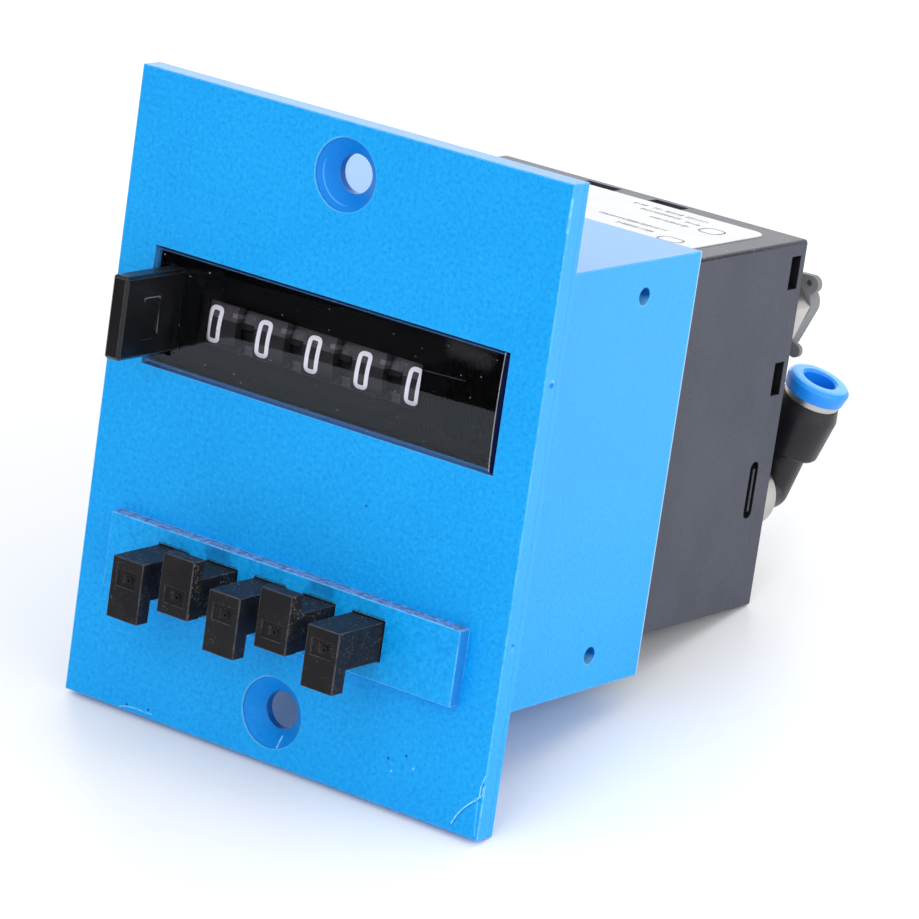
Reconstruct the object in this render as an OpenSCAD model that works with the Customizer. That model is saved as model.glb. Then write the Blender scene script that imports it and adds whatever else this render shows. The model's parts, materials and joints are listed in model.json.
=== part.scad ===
// A panel-mounted pneumatic time delay valve with a preset counter behind its window.
// X runs across the panel, Y into it, Z up. The origin is the middle of the plate's rear face.

/* [Front plate] */
// Width of the front plate
plate_w = 60; // [56:1:80]
// Height of the front plate
plate_h = 75; // [72:1:95]
// Thickness of the front plate
plate_t = 3; // [2.8:0.1:4]
// Distance from the plate's upper and lower edges to its screw holes
screw_edge = 6; // [5:0.5:7]
// Diameter of the panel screw holes
screw_d = 4.5; // [3.5:0.1:5]
// Diameter of the countersinks
sink_d = 8.4; // [6.5:0.1:9]
// Height of the raised pad round the keys
pad_h = 8.95; // [8.5:0.05:9.5]
// How far the key pad stands out
pad_t = 1.8; // [0.8:0.1:2.5]

/* [Sleeve] */
// Thickness of the sleeve's side walls
sleeve_wall = 3.05; // [2.6:0.05:3.4]
// Mean thickness of the sleeve's upper and lower walls
sleeve_wall_v = 2.55; // [2.3:0.05:2.9]
// Depth of the sleeve behind the plate
sleeve_d = 32.7; // [31:0.1:34]

/* [Window] */
// Height of the window recess
window_h = 14; // [13:0.1:15]
// Height of the window's middle above the plate's middle
window_z = 10.5; // [10:0.1:11]
// Thickness of the clear pane at its edges
pane_t = 1; // [0.8:0.1:1.2]
// Thickness of the black mask behind the pane
mask_t = 0.4; // [0.3:0.05:0.6]

/* [Set keys] */
// Distance from one key to the next
pitch = 7; // [7:0.1:7.4]
// Width of a key
key_w = 4.45; // [3.8:0.05:4.6]
// How far the keys stand out of the plate
key_out = 10; // [8:0.5:12]
// Thickness of the thumb tab on a key
tab_t = 2.1; // [1.6:0.1:2.6]
// Travel of a key
key_stroke = 3.4; // [3:0.1:3.6]

/* [Reset button] */
// Thickness of the reset button
reset_w = 2.25; // [1.9:0.05:2.35]
// Height of the reset button
reset_h = 9.8; // [9:0.1:10.2]
// How far the reset button stands out of the plate
reset_out = 9; // [8.5:0.5:11]
// Travel of the reset button
reset_stroke = 7.5; // [6.5:0.5:7.5]

/* [Number wheels] */
// Number of wheels and keys
wheels = 5; // [5:1:5]
// Diameter of a number wheel
wheel_d = 18; // [17:0.2:18.2]
// Width of a wheel's rim
rim_w = 4.4; // [4:0.1:4.6]
// Diameter of the ratchet on a wheel
ratchet_d = 16; // [15.4:0.1:16.2]
// Diameter of the wheel, rocker and trip shafts
shaft_d = 2; // [1.8:0.1:2.2]

/* [Housing] */
// Room between the mechanism's left side plate and the housing's wall
side_room = 1.4; // [1.3:0.1:2.2]
// Height of the black housing
housing_h = 45.8; // [45.6:0.1:46]
// Distance from the plate to the rear of the housing
housing_y = 61.3; // [61:0.1:64]
// Wall thickness of the housing
housing_wall = 1.6; // [1.4:0.1:1.8]

/* [Fittings] */
// Width across flats of the upper port's hexagon
hex_af = 8; // [7:0.5:8.5]
// Bore of the push-in fitting, the tube's outer diameter with its play
tube_bore_d = 4.1; // [3.9:0.05:4.2]
// Length of the elbow from its swivel axis to the release ring's top
elbow_len = 15.8; // [15.4:0.1:18]
// Lean of the elbow's barrel away from upright
elbow_lean = 18; // [0:1:30]

/* [Hidden] */
$fn = 48;

blue = "#2090f0";
black = "#26272b";
housing_grey = "#3a3b40";
steel = "#b9bcc0";
nickel = "#cfc9bf";

// Clearances: a seat that is pushed together, a running bore, and room beside a moving piece
fit = 0.05;
run = 0.05;
gap = 0.15;

face_y = -plate_t;

screw_pitch = plate_h - 2 * screw_edge;
dimple_y = face_y * 0.57;

// Number wheels, and the side plates that carry their shaft
wheel_mid = -1.8;
wheel_x = wheel_mid - (wheels - 1) / 2 * pitch;
last_wheel_x = wheel_x + (wheels - 1) * pitch;
wheel_r = wheel_d / 2;
wheel_z = window_z - 0.3;
shaft_r = shaft_d / 2;
bore_r = shaft_r + run;
ratchet_r = ratchet_d / 2;
hub_r = 2.2;
hub_left = rim_w / 2 + 0.1;
hub_len = pitch - 0.2;
side_t = 1;
side_left = wheel_x - hub_left - side_t - 0.3;
side_right = last_wheel_x - hub_left + hub_len + 0.2;

// The housing is as wide as the mechanism needs, and sits a little above the middle of the sleeve
housing_z = 0.35;
housing_w = 2 * (housing_wall + side_room - side_left);
spigot_y = 18.7;
cavity_w = housing_w + 2 * fit;
cavity_h = housing_h + 2 * fit;
cavity_top = housing_z + cavity_h / 2;
cavity_low = housing_z - cavity_h / 2;
inner_w = housing_w - 2 * housing_wall;
inner_h = housing_h - 2 * housing_wall;
inner_top = housing_z + inner_h / 2;
inner_low = housing_z - inner_h / 2;
sleeve_w = cavity_w + 2 * sleeve_wall;
sleeve_h = cavity_h + 2 * sleeve_wall_v;

// The reset button runs in a pocket in the sleeve's left wall, and the window reaches past it
reset_left = -cavity_w / 2 - 1.1;
window_w = 2 * (1.45 - reset_left);

pane_sink = 0.05;
pane_crown = 0.25;
mask_y = face_y + pane_sink + pane_crown + pane_t;
floor_y = mask_y + mask_t;
window_play = 0.2;

// The mask's slot is cut close to the figures, and the plate's opening clears the wheels' rims
slot_left = wheel_x - 1.6;
slot_right = last_wheel_x + 0.7;
slot_low = window_z - 2.9;
slot_top = window_z + 2.4;
wheel_y = floor_y + gap + wheel_r;
wheel_hole_h = sqrt(pow(wheel_r, 2) - pow(wheel_y, 2)) + 0.6;
ratchet_w = 1.6;
pawl_w = 0.7;
key_pawl_x = hub_left + 0.05;
drive_pawl_x = key_pawl_x + pawl_w + 0.1;
pawl_gap = 0.3;

key_x = wheel_x + 0.35;
stem_low = cavity_low + 2;
stem_top = stem_low + 4.55;
stem_z = (stem_top + stem_low) / 2;
tab_len = 2.3;
tab_down_len = 2.7;
tab_under = 0.15;
key_front = face_y - key_out;
key_play = 0.15;
collar_t = 1.2;
collar_up = 0.8;
arm_z = stem_top + collar_up + 0.05;
arm_t = 1.4;
guide_y = 10.5;
guide_t = 1;
pin_r = 1;
pad_z = stem_z - 0.2;
key_arm_y = wheel_y - 1.25;

reset_z = window_z - 0.05;
reset_front = face_y - reset_out;
reset_play = 0.15;
rack_x = side_left - 0.15;
stem_x = reset_left + 1.25;
pinion_r = reset_stroke / 6;
pinion_teeth = 8;
tooth_pitch = 2 * PI * pinion_r / pinion_teeth;
tooth_up = 0.3;
tooth_down = 0.26;
reset_seat_t = 1.2;
reset_spring_x = side_left - 1.2;
reset_spring_z = reset_z - 3.95;
reset_spring_len = 5;
spring_seat_h = 1.3;
spring_seat_t = 0.8;
rack_len = wheel_y + tooth_pitch * 1.6;
rack_z = wheel_z + pinion_r;

// The valve block fills the rear of the housing, just inside its cover
cover_y = housing_y - 3;
block_len = 24.3;
block_y = cover_y - block_len;
tie_r = 1.5;
ties = [[wheel_y + 8.15, cavity_top - 3.1], [block_y - 5, inner_low + 2.45], [block_y - 4, inner_top - 2.75]];
guide_half = 2.4;
guide_low = stem_z - guide_half;
guide_top = stem_z + guide_half;
rib_t = 0.8;
rib_spans = [[stem_top + 4.05, stem_top + 10.05], [cavity_top - 6.3, cavity_top - 2.3]];

// The rocker swings on the line that runs down and back from the wheel shaft
rocker_reach = wheel_r + 5;
rocker_y = wheel_y + rocker_reach * cos(45);
rocker_z = wheel_z - rocker_reach * sin(45);
rocker_r = 2;
finger_len = rocker_reach - ratchet_r - pawl_gap;
finger_lead = 10.9;
lever_t = 2;
lever_w = 2.5;
lever_x = wheel_x + pitch + drive_pawl_x + pawl_w + 1.2;

piston_x = lever_x + lever_w / 2;
piston_z = -12;
piston_r = 4.9;
cylinder_r = piston_r + 0.1;
piston_stroke = 4;
cross_y = cover_y - 7.3;
piston_y = cross_y - 6;
piston_t = 3;
piston_spring_r = 3;
groove_r = piston_r - 0.9;
groove_w = 1;
cap_t = 3;
rod_r = 1.5;

trip_y = block_y - 8;
trip_z = wheel_z - 4.2;
trip_r = 2;
trip_w = 4;
trip_x = wheel_x + 3 * pitch - 1.2;
trip_tip = wheel_y + wheel_r + 0.75;
poppet_x = trip_x + trip_w / 2;
poppet_z = 13.7;
poppet_stroke = 1.5;
guide_len = 7;
chamber_r = 3.6;
poppet_head_t = 2;
poppet_stem_r = 1.2;
trip_face = trip_y + 2;

port_x = housing_w / 2 - 4.9;
port_low = -10;
port_high = 13.7;
thread_r = 2.1;
thread_len = 10;
stud_r = 2;
stud_len = 8;
passage_r = 1;

// Catches, screws and pins that hold the housing and its cover
side_catches = [inner_top - 2.25, inner_top - 15.35];
top_catches = [-6.4, 3.55];
top_catch_w = 4.9;
catch_w = 4.1;
catch_y = 2.05;
latch_z = housing_z - 7.7;
screw_across = inner_w / 2 - 11.8;
screw_up = inner_h / 2 - 4.35;
cover_screws = [for (x = [-1, 1], z = [1, -1]) [x * screw_across, housing_z + z * screw_up]];
screw_r = 1.2;
screw_len = 8;
screw_head_r = 2.2;
screw_head_t = 1.4;
latch_w = 1.8;
latch_h = 7.1;
pin_y = spigot_y + 2.97;
pin_z = cavity_h / 2 - 1.65;
pin_hole_r = 1.03;
pin_sink = 1.7;

elbow_y = housing_y + 8.4;
base_end = housing_y + 4.1;
base_r = 4.1;
spigot_r = 1.6;
barrel_r = 4.1;
tube_r = tube_bore_d / 2;
collet_s = elbow_len - 2.9;
seal_s = collet_s - 5.2;
collet_r = 3.2;
ring_travel = 0.6;
cup_r = 3.5;
cup_top = 1.55;
neck_r = 2.65;

// Nickel nipple and its dust cap
nipple_y = housing_y + 3.7;
nipple_r = 2.4;
nipple_len = 2.6;
cap_r = 3.4;
cap_rim_t = 2.2;
cap_dome_r = 3.1;
cap_dome_t = 3.8;

tabs_down = [true, false, true, false, true];

// Placing helpers: each one draws a flat outline and gives it length along one axis
module along_x(x0, x1) translate([x0, 0, 0]) rotate([90, 0, 90]) linear_extrude(x1 - x0) children();
module along_y(y0, y1) translate([0, y1, 0]) rotate([90, 0, 0]) linear_extrude(y1 - y0) children();
module box(x, y, z) translate([x[0], y[0], z[0]]) cube([x[1] - x[0], y[1] - y[0], z[1] - z[0]]);
module rod_x(y, z, r, x0, x1) translate([x0, y, z]) rotate([0, 90, 0]) cylinder(h = x1 - x0, r = r);
module rod_y(x, z, r, y0, y1) translate([x, y0, z]) rotate([-90, 0, 0]) cylinder(h = y1 - y0, r = r);
module turned_x(x, y, z) translate([x, y, z]) rotate([0, 90, 0]) rotate_extrude() children();
module turned_y(x, y, z) translate([x, y, z]) rotate([-90, 0, 0]) rotate_extrude() children();
module leaning() translate([port_x, elbow_y, port_low]) rotate([0, elbow_lean, 0]) children();

module rounded(w, h, r) {
    square([w - 2 * r, h], center = true);
    square([w, h - 2 * r], center = true);
    for (x = [-1, 1], y = [-1, 1]) translate([x * (w / 2 - r), y * (h / 2 - r)]) circle(r, $fn = 24);
}

module chamfered(w, h, c) {
    polygon([[-w / 2 + c, -h / 2], [w / 2 - c, -h / 2], [w / 2, -h / 2 + c], [w / 2, h / 2 - c],
        [w / 2 - c, h / 2], [-w / 2 + c, h / 2], [-w / 2, h / 2 - c], [-w / 2, -h / 2 + c]]);
}

// A block with every edge broken by a small flat
module broken_block(x, y, z, c) {
    mid = [(x[0] + x[1]) / 2, (y[0] + y[1]) / 2, (z[0] + z[1]) / 2];
    size = [x[1] - x[0], y[1] - y[0], z[1] - z[0]];
    translate(mid) intersection() {
        linear_extrude(size.z, center = true) chamfered(size.x, size.y, c);
        rotate([90, 0, 0]) linear_extrude(size.y, center = true) chamfered(size.x, size.z, c);
        rotate([90, 0, 90]) linear_extrude(size.x, center = true) chamfered(size.y, size.z, c);
    }
}

// A round wire wound along Z, from 0 to len
module coil(r, wire, len, turns) {
    sides = 6;
    steps = 10 * turns;
    rise = len - 2 * wire;
    function ring_point(i, j) =
        let (a = 360 * turns * i / steps, b = 360 * j / sides, reach = r + wire * cos(b))
        [reach * cos(a), reach * sin(a), wire + rise * i / steps + wire * sin(b)];
    points = [for (i = [0:steps], j = [0:sides - 1]) ring_point(i, j)];
    quads = [for (i = [0:steps - 1], j = [0:sides - 1])
        let (k = (j + 1) % sides)
        each [[i * sides + j, i * sides + k, (i + 1) * sides + k],
            [i * sides + j, (i + 1) * sides + k, (i + 1) * sides + j]]];
    first = [for (j = [0:sides - 1]) sides - 1 - j];
    last = [for (j = [0:sides - 1]) steps * sides + j];
    polyhedron(points = points, faces = concat([first], quads, [last]));
}

module coil_y(x, z, y0, y1, r, wire, turns) {
    translate([x, y0, z]) rotate([-90, 0, 0]) coil(r, wire, y1 - y0, turns);
}

// Front moulding: plate, key pad and sleeve in one piece
module front_frame() {
    color(blue) difference() {
        union() {
            broken_block([-plate_w / 2, plate_w / 2], [face_y, 0], [-plate_h / 2, plate_h / 2], 0.1);
            broken_block([-sleeve_w / 2, sleeve_w / 2], [-plate_t / 2, sleeve_d],
                [-sleeve_h / 2, sleeve_h / 2], 0.1);
            broken_block([-window_w / 2, window_w / 2], [face_y - pad_t, face_y + 0.5],
                [pad_z - pad_h / 2, pad_z + pad_h / 2], 0.08);
            plate_ribs();
        }
        box([-cavity_w / 2, cavity_w / 2], [0, sleeve_d + 1], [cavity_low, cavity_top]);
        window_recess();
        for (i = [0:wheels - 1]) key_slot(i);
        for (s = [-1, 1]) panel_hole(s * screw_pitch / 2);
        for (s = [-1, 1], t = [-1, 1]) {
            rod_x(pin_y, t * pin_z, pin_hole_r, min(s * sleeve_w, 0), max(s * sleeve_w, 0));
            translate([s * plate_w / 2, dimple_y, t * 15]) sphere(0.4, $fn = 16);
        }
    }
    color(blue) plate_ribs();
}

module panel_hole(z) {
    sink = (sink_d - screw_d) / 2;
    turned_y(0, face_y, z) polygon([[0, -1], [sink_d / 2 + 1, -1], [screw_d / 2, sink],
        [screw_d / 2, plate_t + 1], [0, plate_t + 1]]);
}

module window_recess() {
    top = window_z + window_h / 2;
    low = window_z - window_h / 2;
    box([-window_w / 2, window_w / 2], [face_y - 1, floor_y], [low, top]);
    box([wheel_x - rim_w / 2 - 0.3, last_wheel_x + hub_left + ratchet_w + 0.3], [floor_y - 1, 1],
        [wheel_z - wheel_hole_h, wheel_z + wheel_hole_h]);
    box([reset_left - reset_play, reset_left + reset_w + reset_play],
        [floor_y - 1, reset_stroke + reset_seat_t + 0.5],
        [reset_z - reset_h / 2 - reset_play, reset_z + reset_h / 2 + reset_play]);
}

module key_slot(i) {
    half = key_w / 2 + key_play;
    box([key_x + i * pitch - half, key_x + i * pitch + half], [face_y - pad_t - 1, 1],
        [stem_low - key_play, stem_top + key_play]);
}

// Ribs behind the plate that hold the mechanism's side plates
module plate_ribs() {
    left = side_left - fit;
    right = side_right + side_t + fit;
    for (z = rib_spans) {
        box([left - rib_t, left], [-0.5, 1.5], z);
        box([right, right + rib_t], [-0.5, 1.5], z);
    }
}

// Clear pane, gently crowned across its height, with an opening for the reset button
module display_window() {
    side = window_w / 2 - window_play;
    half = window_h / 2 - window_play;
    room = 0.25;
    steps = 12;
    crown = [for (k = [0:steps])
        let (t = 2 * k / steps - 1)
        [mask_y - pane_t - pane_crown * (1 - t * t), window_z + half * t]];
    color([0.75, 0.78, 0.8, 0.35]) difference() {
        along_x(-side, side)
            polygon(concat(crown, [[mask_y, window_z + half], [mask_y, window_z - half]]));
        box([reset_left - room, reset_left + reset_w + room], [face_y - 1, floor_y],
            [reset_z - reset_h / 2 - room, reset_z + reset_h / 2 + room]);
    }
}

// Black card behind the pane, with a slot for the figures and one for the reset button
module digit_mask() {
    half = window_h / 2 - 0.1;
    color(black) difference() {
        box([-window_w / 2 + 0.1, window_w / 2 - 0.1], [mask_y, floor_y], [window_z - half, window_z + half]);
        box([slot_left, slot_right], [mask_y - 1, floor_y + 1], [slot_low, slot_top]);
        box([reset_left - reset_play, reset_left + reset_w + reset_play], [mask_y - 1, floor_y + 1],
            [reset_z - reset_h / 2 - reset_play, reset_z + reset_h / 2 + reset_play]);
    }
}

// Thin slab of a button whose stem carries the rack that turns the wheel shaft
module reset_button() {
    right = reset_left + reset_w;
    low = reset_z - reset_h / 2;
    top = reset_z + reset_h / 2;
    color(black) difference() {
        union() {
            broken_block([reset_left, right], [reset_front, reset_seat_t + 0.1], [low, top], 0.35);
            box([stem_x, right], [0.1, reset_seat_t + 0.1], [low - 0.8, top + 0.8]);
            box([stem_x, right], [reset_seat_t, rack_len + 0.6], [reset_z - 0.95, reset_z + 3.55]);
            box([right - 0.1, side_left - 0.3], [0.1, reset_seat_t + 0.1],
                [reset_spring_z - spring_seat_h, reset_spring_z + spring_seat_h]);
            rack();
        }
        for (x = [reset_left, right]) translate([x, 0, 0]) finger_recess();
    }
}

module finger_recess() {
    depth = 0.25;
    translate([-depth, (reset_front + face_y) / 2 + 0.45, reset_z - 0.35]) rotate([90, 0, 90])
        linear_extrude(2 * depth) rounded(2.9, 4.9, 0.6);
}

module rack() {
    right = reset_left + reset_w;
    back_z = rack_z + tooth_up + 0.1;
    box([right - 0.1, rack_x], [0.1, rack_len], [back_z, back_z + 1.5]);
    count = floor((rack_len - 0.4) / tooth_pitch);
    for (i = [0:count - 1]) {
        y = wheel_y + (i - count + 2) * tooth_pitch;
        if (y > 0.5) along_x(right - 0.1, rack_x)
            polygon([[y - 0.22, back_z + 0.1], [y - 0.1, rack_z - tooth_down],
                [y + 0.1, rack_z - tooth_down], [y + 0.22, back_z + 0.1]]);
    }
}

module reset_spring() {
    y0 = reset_seat_t + 0.1;
    color(steel) coil_y(reset_spring_x, reset_spring_z, y0, y0 + reset_spring_len, 0.85, 0.18, 5);
}

// A key: stem, thumb tab, collar behind the plate, guide pin and the arm with its pawl
module set_key(i) {
    x = key_x + i * pitch;
    left = x - key_w / 2;
    right = x + key_w / 2;
    down = tabs_down[i];
    front_z = down ? [stem_low - tab_down_len, stem_top] : [stem_low - tab_under, stem_top + tab_len];
    arm_left = wheel_x + i * pitch + key_pawl_x;
    arm_right = arm_left + pawl_w;
    tip_z = wheel_z - ratchet_r - pawl_gap;
    color(black) difference() {
        union() {
            broken_block([left, right], [key_front, key_front + tab_t], front_z, 0.08);
            box([left, right], [key_front + tab_t - 0.3, 0.5], [stem_low, stem_top]);
            box([left, right], [0.1, collar_t + 0.1], [stem_low - collar_up, stem_top + collar_up]);
            rod_y(x, stem_z, pin_r, collar_t, guide_y + guide_t + 0.5);
            box([arm_left, arm_right], [0.1, key_arm_y + arm_t], [arm_z - 0.3, arm_z + 1]);
            box([arm_left, arm_right], [key_arm_y, key_arm_y + arm_t], [arm_z, tip_z - 1]);
            along_x(arm_left, arm_right)
                polygon([[key_arm_y, tip_z - 1.1], [key_arm_y + arm_t, tip_z - 1.1],
                    [key_arm_y + arm_t, tip_z], [key_arm_y + arm_t - 0.4, tip_z]]);
        }
        key_face(x);
    }
}

// Shallow recess on the key's front with a small raised bar and ring in it
module key_face(x) {
    color(black) difference() {
        along_y(key_front - 1, key_front + 0.2) translate([x, stem_z - 0.1])
            square([key_w - 1.55, 2], center = true);
        along_y(key_front, key_front + 1) translate([x, stem_z - 0.1]) {
            translate([-0.35, 0]) square([0.3, 0.9], center = true);
            translate([0.42, 0]) difference() {
                circle(0.42, $fn = 24);
                circle(0.2, $fn = 24);
            }
        }
    }
}

module key_spring(i) {
    y0 = collar_t + 0.1;
    color(steel) coil_y(key_x + i * pitch, stem_z, y0, guide_y - key_stroke - 0.1, 1.4, 0.2, 5);
}

// Number wheel: rim, web and hub in one turned outline, and a ten-tooth ratchet beside the rim
module number_wheel(i) {
    x = wheel_x + i * pitch;
    wall = 1.2;
    half = rim_w / 2;
    color("#1d1e22") difference() {
        union() {
            turned_x(x, wheel_y, wheel_z)
                polygon([[bore_r, -hub_left], [hub_r, -hub_left], [hub_r, -0.5], [wheel_r - wall, -0.5],
                    [wheel_r - wall, -half], [wheel_r, -half], [wheel_r, half], [wheel_r - wall, half],
                    [wheel_r - wall, 0.5], [hub_r, 0.5], [hub_r, hub_len - hub_left],
                    [bore_r, hub_len - hub_left]]);
            along_x(x + 0.4, x + hub_left + ratchet_w) translate([wheel_y, wheel_z]) ratchet();
        }
        rod_x(wheel_y, wheel_z, bore_r, x - hub_left - 1, x + hub_len + 1);
    }
}

module ratchet() {
    teeth = 10;
    root = ratchet_r - 0.9;
    step = 360 / teeth;
    polygon([for (k = [0:teeth - 1]) each [
        [ratchet_r * cos(k * step), ratchet_r * sin(k * step)],
        [root * cos(k * step + 4), root * sin(k * step + 4)]]]);
}

// The shaft ends in a small pinion that the reset button's rack turns
module wheel_shaft() {
    left = side_left - fit - 0.7;
    root = pinion_r - 0.36;
    tip = pinion_r + tooth_up;
    step = 360 / pinion_teeth;
    color(steel) {
        rod_x(wheel_y, wheel_z, shaft_r, side_left - fit, side_right + side_t + 0.4);
        rod_x(wheel_y, wheel_z, root, left, side_left);
        along_x(left, side_left - fit) translate([wheel_y, wheel_z]) rotate(90 + step / 2)
            polygon([for (k = [0:pinion_teeth - 1]) for (p = [[root, -13], [tip, -5], [tip, 5], [root, 13]])
                [p[0] * cos(k * step + p[1]), p[0] * sin(k * step + p[1])]]);
    }
}

// Sheet side plate: tall in the sleeve, lower where it runs inside the housing
module side_plate(x) {
    tall = cavity_h / 2 - 0.1;
    low = inner_h / 2 - 0.1;
    step_y = spigot_y - 0.3;
    color(steel) difference() {
        along_x(x, x + side_t) translate([0, housing_z])
            polygon([[0, -tall], [step_y, -tall], [step_y, -low], [block_y, -low],
                [block_y, low], [step_y, low], [step_y, tall], [0, tall]]);
        shaft_hole(wheel_y, wheel_z, shaft_r, x);
        shaft_hole(rocker_y, rocker_z, shaft_r, x);
        shaft_hole(trip_y, trip_z, shaft_r, x);
        for (t = ties) shaft_hole(t[0], t[1], tie_r - 0.5, x);
        box([x - 1, x + side_t + 1], [guide_y - fit, guide_y + guide_t + fit],
            [guide_low - fit, guide_top + fit]);
    }
}

module shaft_hole(y, z, r, x) rod_x(y, z, r + run, x - 1, x + side_t + 1);

// The left side plate has a bent lug that the reset spring pushes against
module side_plate_left() {
    side_plate(side_left);
    seat = reset_seat_t + 0.1 + reset_spring_len + reset_stroke + 0.05;
    color(steel) box([reset_spring_x - spring_seat_h, side_left + 0.2], [seat, seat + spring_seat_t],
        [reset_spring_z - spring_seat_h, reset_spring_z + spring_seat_h]);
}

module tie_bars() {
    color(steel) for (t = ties) {
        rod_x(t[0], t[1], tie_r, side_left + side_t, side_right);
        rod_x(t[0], t[1], tie_r - 0.5, side_left - 0.3, side_right + side_t + 0.3);
    }
}

// Strip across the side plates with a hole for each key's guide pin
module key_guide() {
    color(steel) difference() {
        box([side_left, side_right + side_t], [guide_y, guide_y + guide_t], [guide_low, guide_top]);
        for (i = [0:wheels - 1])
            rod_y(key_x + i * pitch, stem_z, pin_r + 0.1, guide_y - 1, guide_y + guide_t + 1);
    }
}

// Spring-steel comb clipped to the upper tie bar, one finger at each ratchet
module detent_comb() {
    t = 0.3;
    reach = ratchet_r + 0.25;
    tip = [wheel_y + reach * cos(75), wheel_z + reach * sin(75)];
    root = [ties[0][0] - 0.7, ties[0][1] - tie_r - 0.05 - t];
    bend = root + (tip - root) * 0.2;
    up = [0, t];
    color(steel) {
        along_x(side_left + side_t + 0.3, side_right - 0.3)
            polygon([root + [1.5, 0], root + [1.5, t], root + up, bend + up, bend, root]);
        for (i = [0:wheels - 1]) {
            x = wheel_x + i * pitch + drive_pawl_x;
            along_x(x, x + pawl_w) polygon([root, root + up, tip + up, tip]);
        }
    }
}

// Drive rocker: a tube with a finger for each ratchet and a lever that the piston pushes
module drive_rocker() {
    tube_left = side_left + side_t + 0.2;
    tube_right = side_right - 0.2;
    color("#77797d") difference() {
        union() {
            rod_x(rocker_y, rocker_z, rocker_r, tube_left, tube_right);
            box([lever_x, lever_x + lever_w], [rocker_y - lever_t / 2, rocker_y + lever_t / 2],
                [piston_z - 1.9, rocker_z]);
            for (i = [0:wheels - 1]) {
                x = wheel_x + i * pitch + drive_pawl_x;
                len = finger_len - 0.2 * (wheels - 1 - i);
                along_x(x, x + pawl_w) translate([rocker_y, rocker_z]) rotate(135 + finger_lead)
                    polygon([[0, -1], [len - 1.2, -0.6], [len, 0.5], [len, 0.7], [0, 1]]);
            }
        }
        rod_x(rocker_y, rocker_z, bore_r, tube_left - 1, tube_right + 1);
    }
}

module rocker_shaft() {
    color(steel) rod_x(rocker_y, rocker_z, shaft_r, side_left - 0.3, side_right + side_t + 0.3);
}

module trip_shaft() {
    color(steel) rod_x(trip_y, trip_z, shaft_r, side_left - 0.3, side_right + side_t + 0.3);
}

// Bell crank between the wheels and the output poppet
module trip_lever() {
    up = poppet_z - trip_z + 1.8;
    face = trip_face - trip_y;
    tip = trip_tip - trip_y;
    color("#77797d") difference() {
        union() {
            rod_x(trip_y, trip_z, trip_r, trip_x - 1, trip_x + trip_w + 1);
            along_x(trip_x, trip_x + trip_w) translate([trip_y, trip_z]) {
                polygon([[-trip_r, 0], [face, 0], [face, up], [0.4, up]]);
                polygon([[0, -1.2], [0, 1.2], [tip, 0.5], [tip, -0.7]]);
            }
        }
        rod_x(trip_y, trip_z, bore_r, trip_x - 2, trip_x + trip_w + 2);
    }
}

// Black shell, open at both ends, with catch windows near its rear edge
module rear_housing() {
    color(housing_grey) difference() {
        along_y(spigot_y, housing_y) translate([0, housing_z]) rounded(housing_w, housing_h, 0.5);
        along_y(spigot_y - 1, housing_y + 1) translate([0, housing_z]) rounded(inner_w, inner_h, 0.3);
        for (z = side_catches)
            box([-housing_w, housing_w], [cover_y, cover_y + catch_y], [z - catch_w / 2, z + catch_w / 2]);
        for (x = top_catches)
            box([x - top_catch_w / 2, x + top_catch_w / 2], [cover_y, cover_y + catch_y],
                [-housing_h, housing_h]);
        for (s = [-1, 1]) latch_recess(s);
        for (s = [-1, 1], t = [-1, 1])
            translate([s * housing_w / 2, 0, 0])
                rod_x(pin_y, t * pin_z, pin_hole_r, -housing_wall - 1, housing_wall + 1);
    }
}

// Long shallow pocket on each side with a low rib along it
module latch_recess(s) {
    x0 = s * (housing_w / 2 - 0.8);
    x1 = s * (housing_w / 2 + 1);
    difference() {
        along_x(min(x0, x1), max(x0, x1)) translate([cover_y - latch_w / 2 - gap / 3, latch_z])
            rounded(latch_w, latch_h, 0.8);
        box([min(x0, x1) - 1, max(x0, x1) + 1], [cover_y - 1.15, cover_y - 0.75],
            [latch_z - latch_h / 2 + 0.9, latch_z + latch_h / 2 - 0.9]);
    }
}

// Rear cover inside the housing, with catches that reach into the windows
module rear_cover() {
    w = inner_w - 2 * fit;
    h = inner_h - 2 * fit;
    tab = catch_w / 2 - gap;
    top_tab = top_catch_w / 2 - gap;
    reach = 0.45;
    color(housing_grey) difference() {
        union() {
            along_y(cover_y, housing_y) translate([0, housing_z]) rounded(w, h, 0.3);
            for (z = side_catches)
                box([-w / 2 - reach, w / 2 + reach], [cover_y + gap, cover_y + catch_y - gap],
                    [z - tab, z + tab]);
            for (x = top_catches)
                box([x - top_tab, x + top_tab], [cover_y + gap, cover_y + catch_y - gap],
                    [housing_z - h / 2 - reach, housing_z + h / 2 + reach]);
        }
        for (x = [-1, 1], z = [port_low, port_high])
            rod_y(x * port_x, z, thread_r + 0.5, cover_y - 1, housing_y + 1);
        for (p = cover_screws) rod_y(p[0], p[1], screw_r + 0.1, cover_y - 1, housing_y + 1);
    }
}

module rear_screws() {
    color(steel) for (p = cover_screws) difference() {
        union() {
            turned_y(p[0], housing_y, p[1])
                polygon([[0, 0], [screw_head_r, 0], [screw_head_r, screw_head_t / 2],
                    [screw_head_r - 0.7, screw_head_t - 0.1], [0, screw_head_t]]);
            rod_y(p[0], p[1], screw_r, housing_y - screw_len, housing_y + 0.5);
        }
        for (a = [0, 90]) translate([p[0], housing_y + screw_head_t + 0.2, p[1]]) rotate([0, a + 20, 0])
            cube([screw_head_r + 0.2, screw_head_t, 0.5], center = true);
    }
}

// Pins that lock the housing in the sleeve, two on each side
module retaining_pins() {
    color("#9a9ca0") for (s = [-1, 1], t = [-1, 1]) {
        inner = inner_w / 2 + 0.1;
        outer = sleeve_w / 2 - pin_sink;
        rod_x(pin_y, t * pin_z, pin_hole_r - run, s > 0 ? inner : -outer, s > 0 ? outer : -inner);
    }
}

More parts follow.
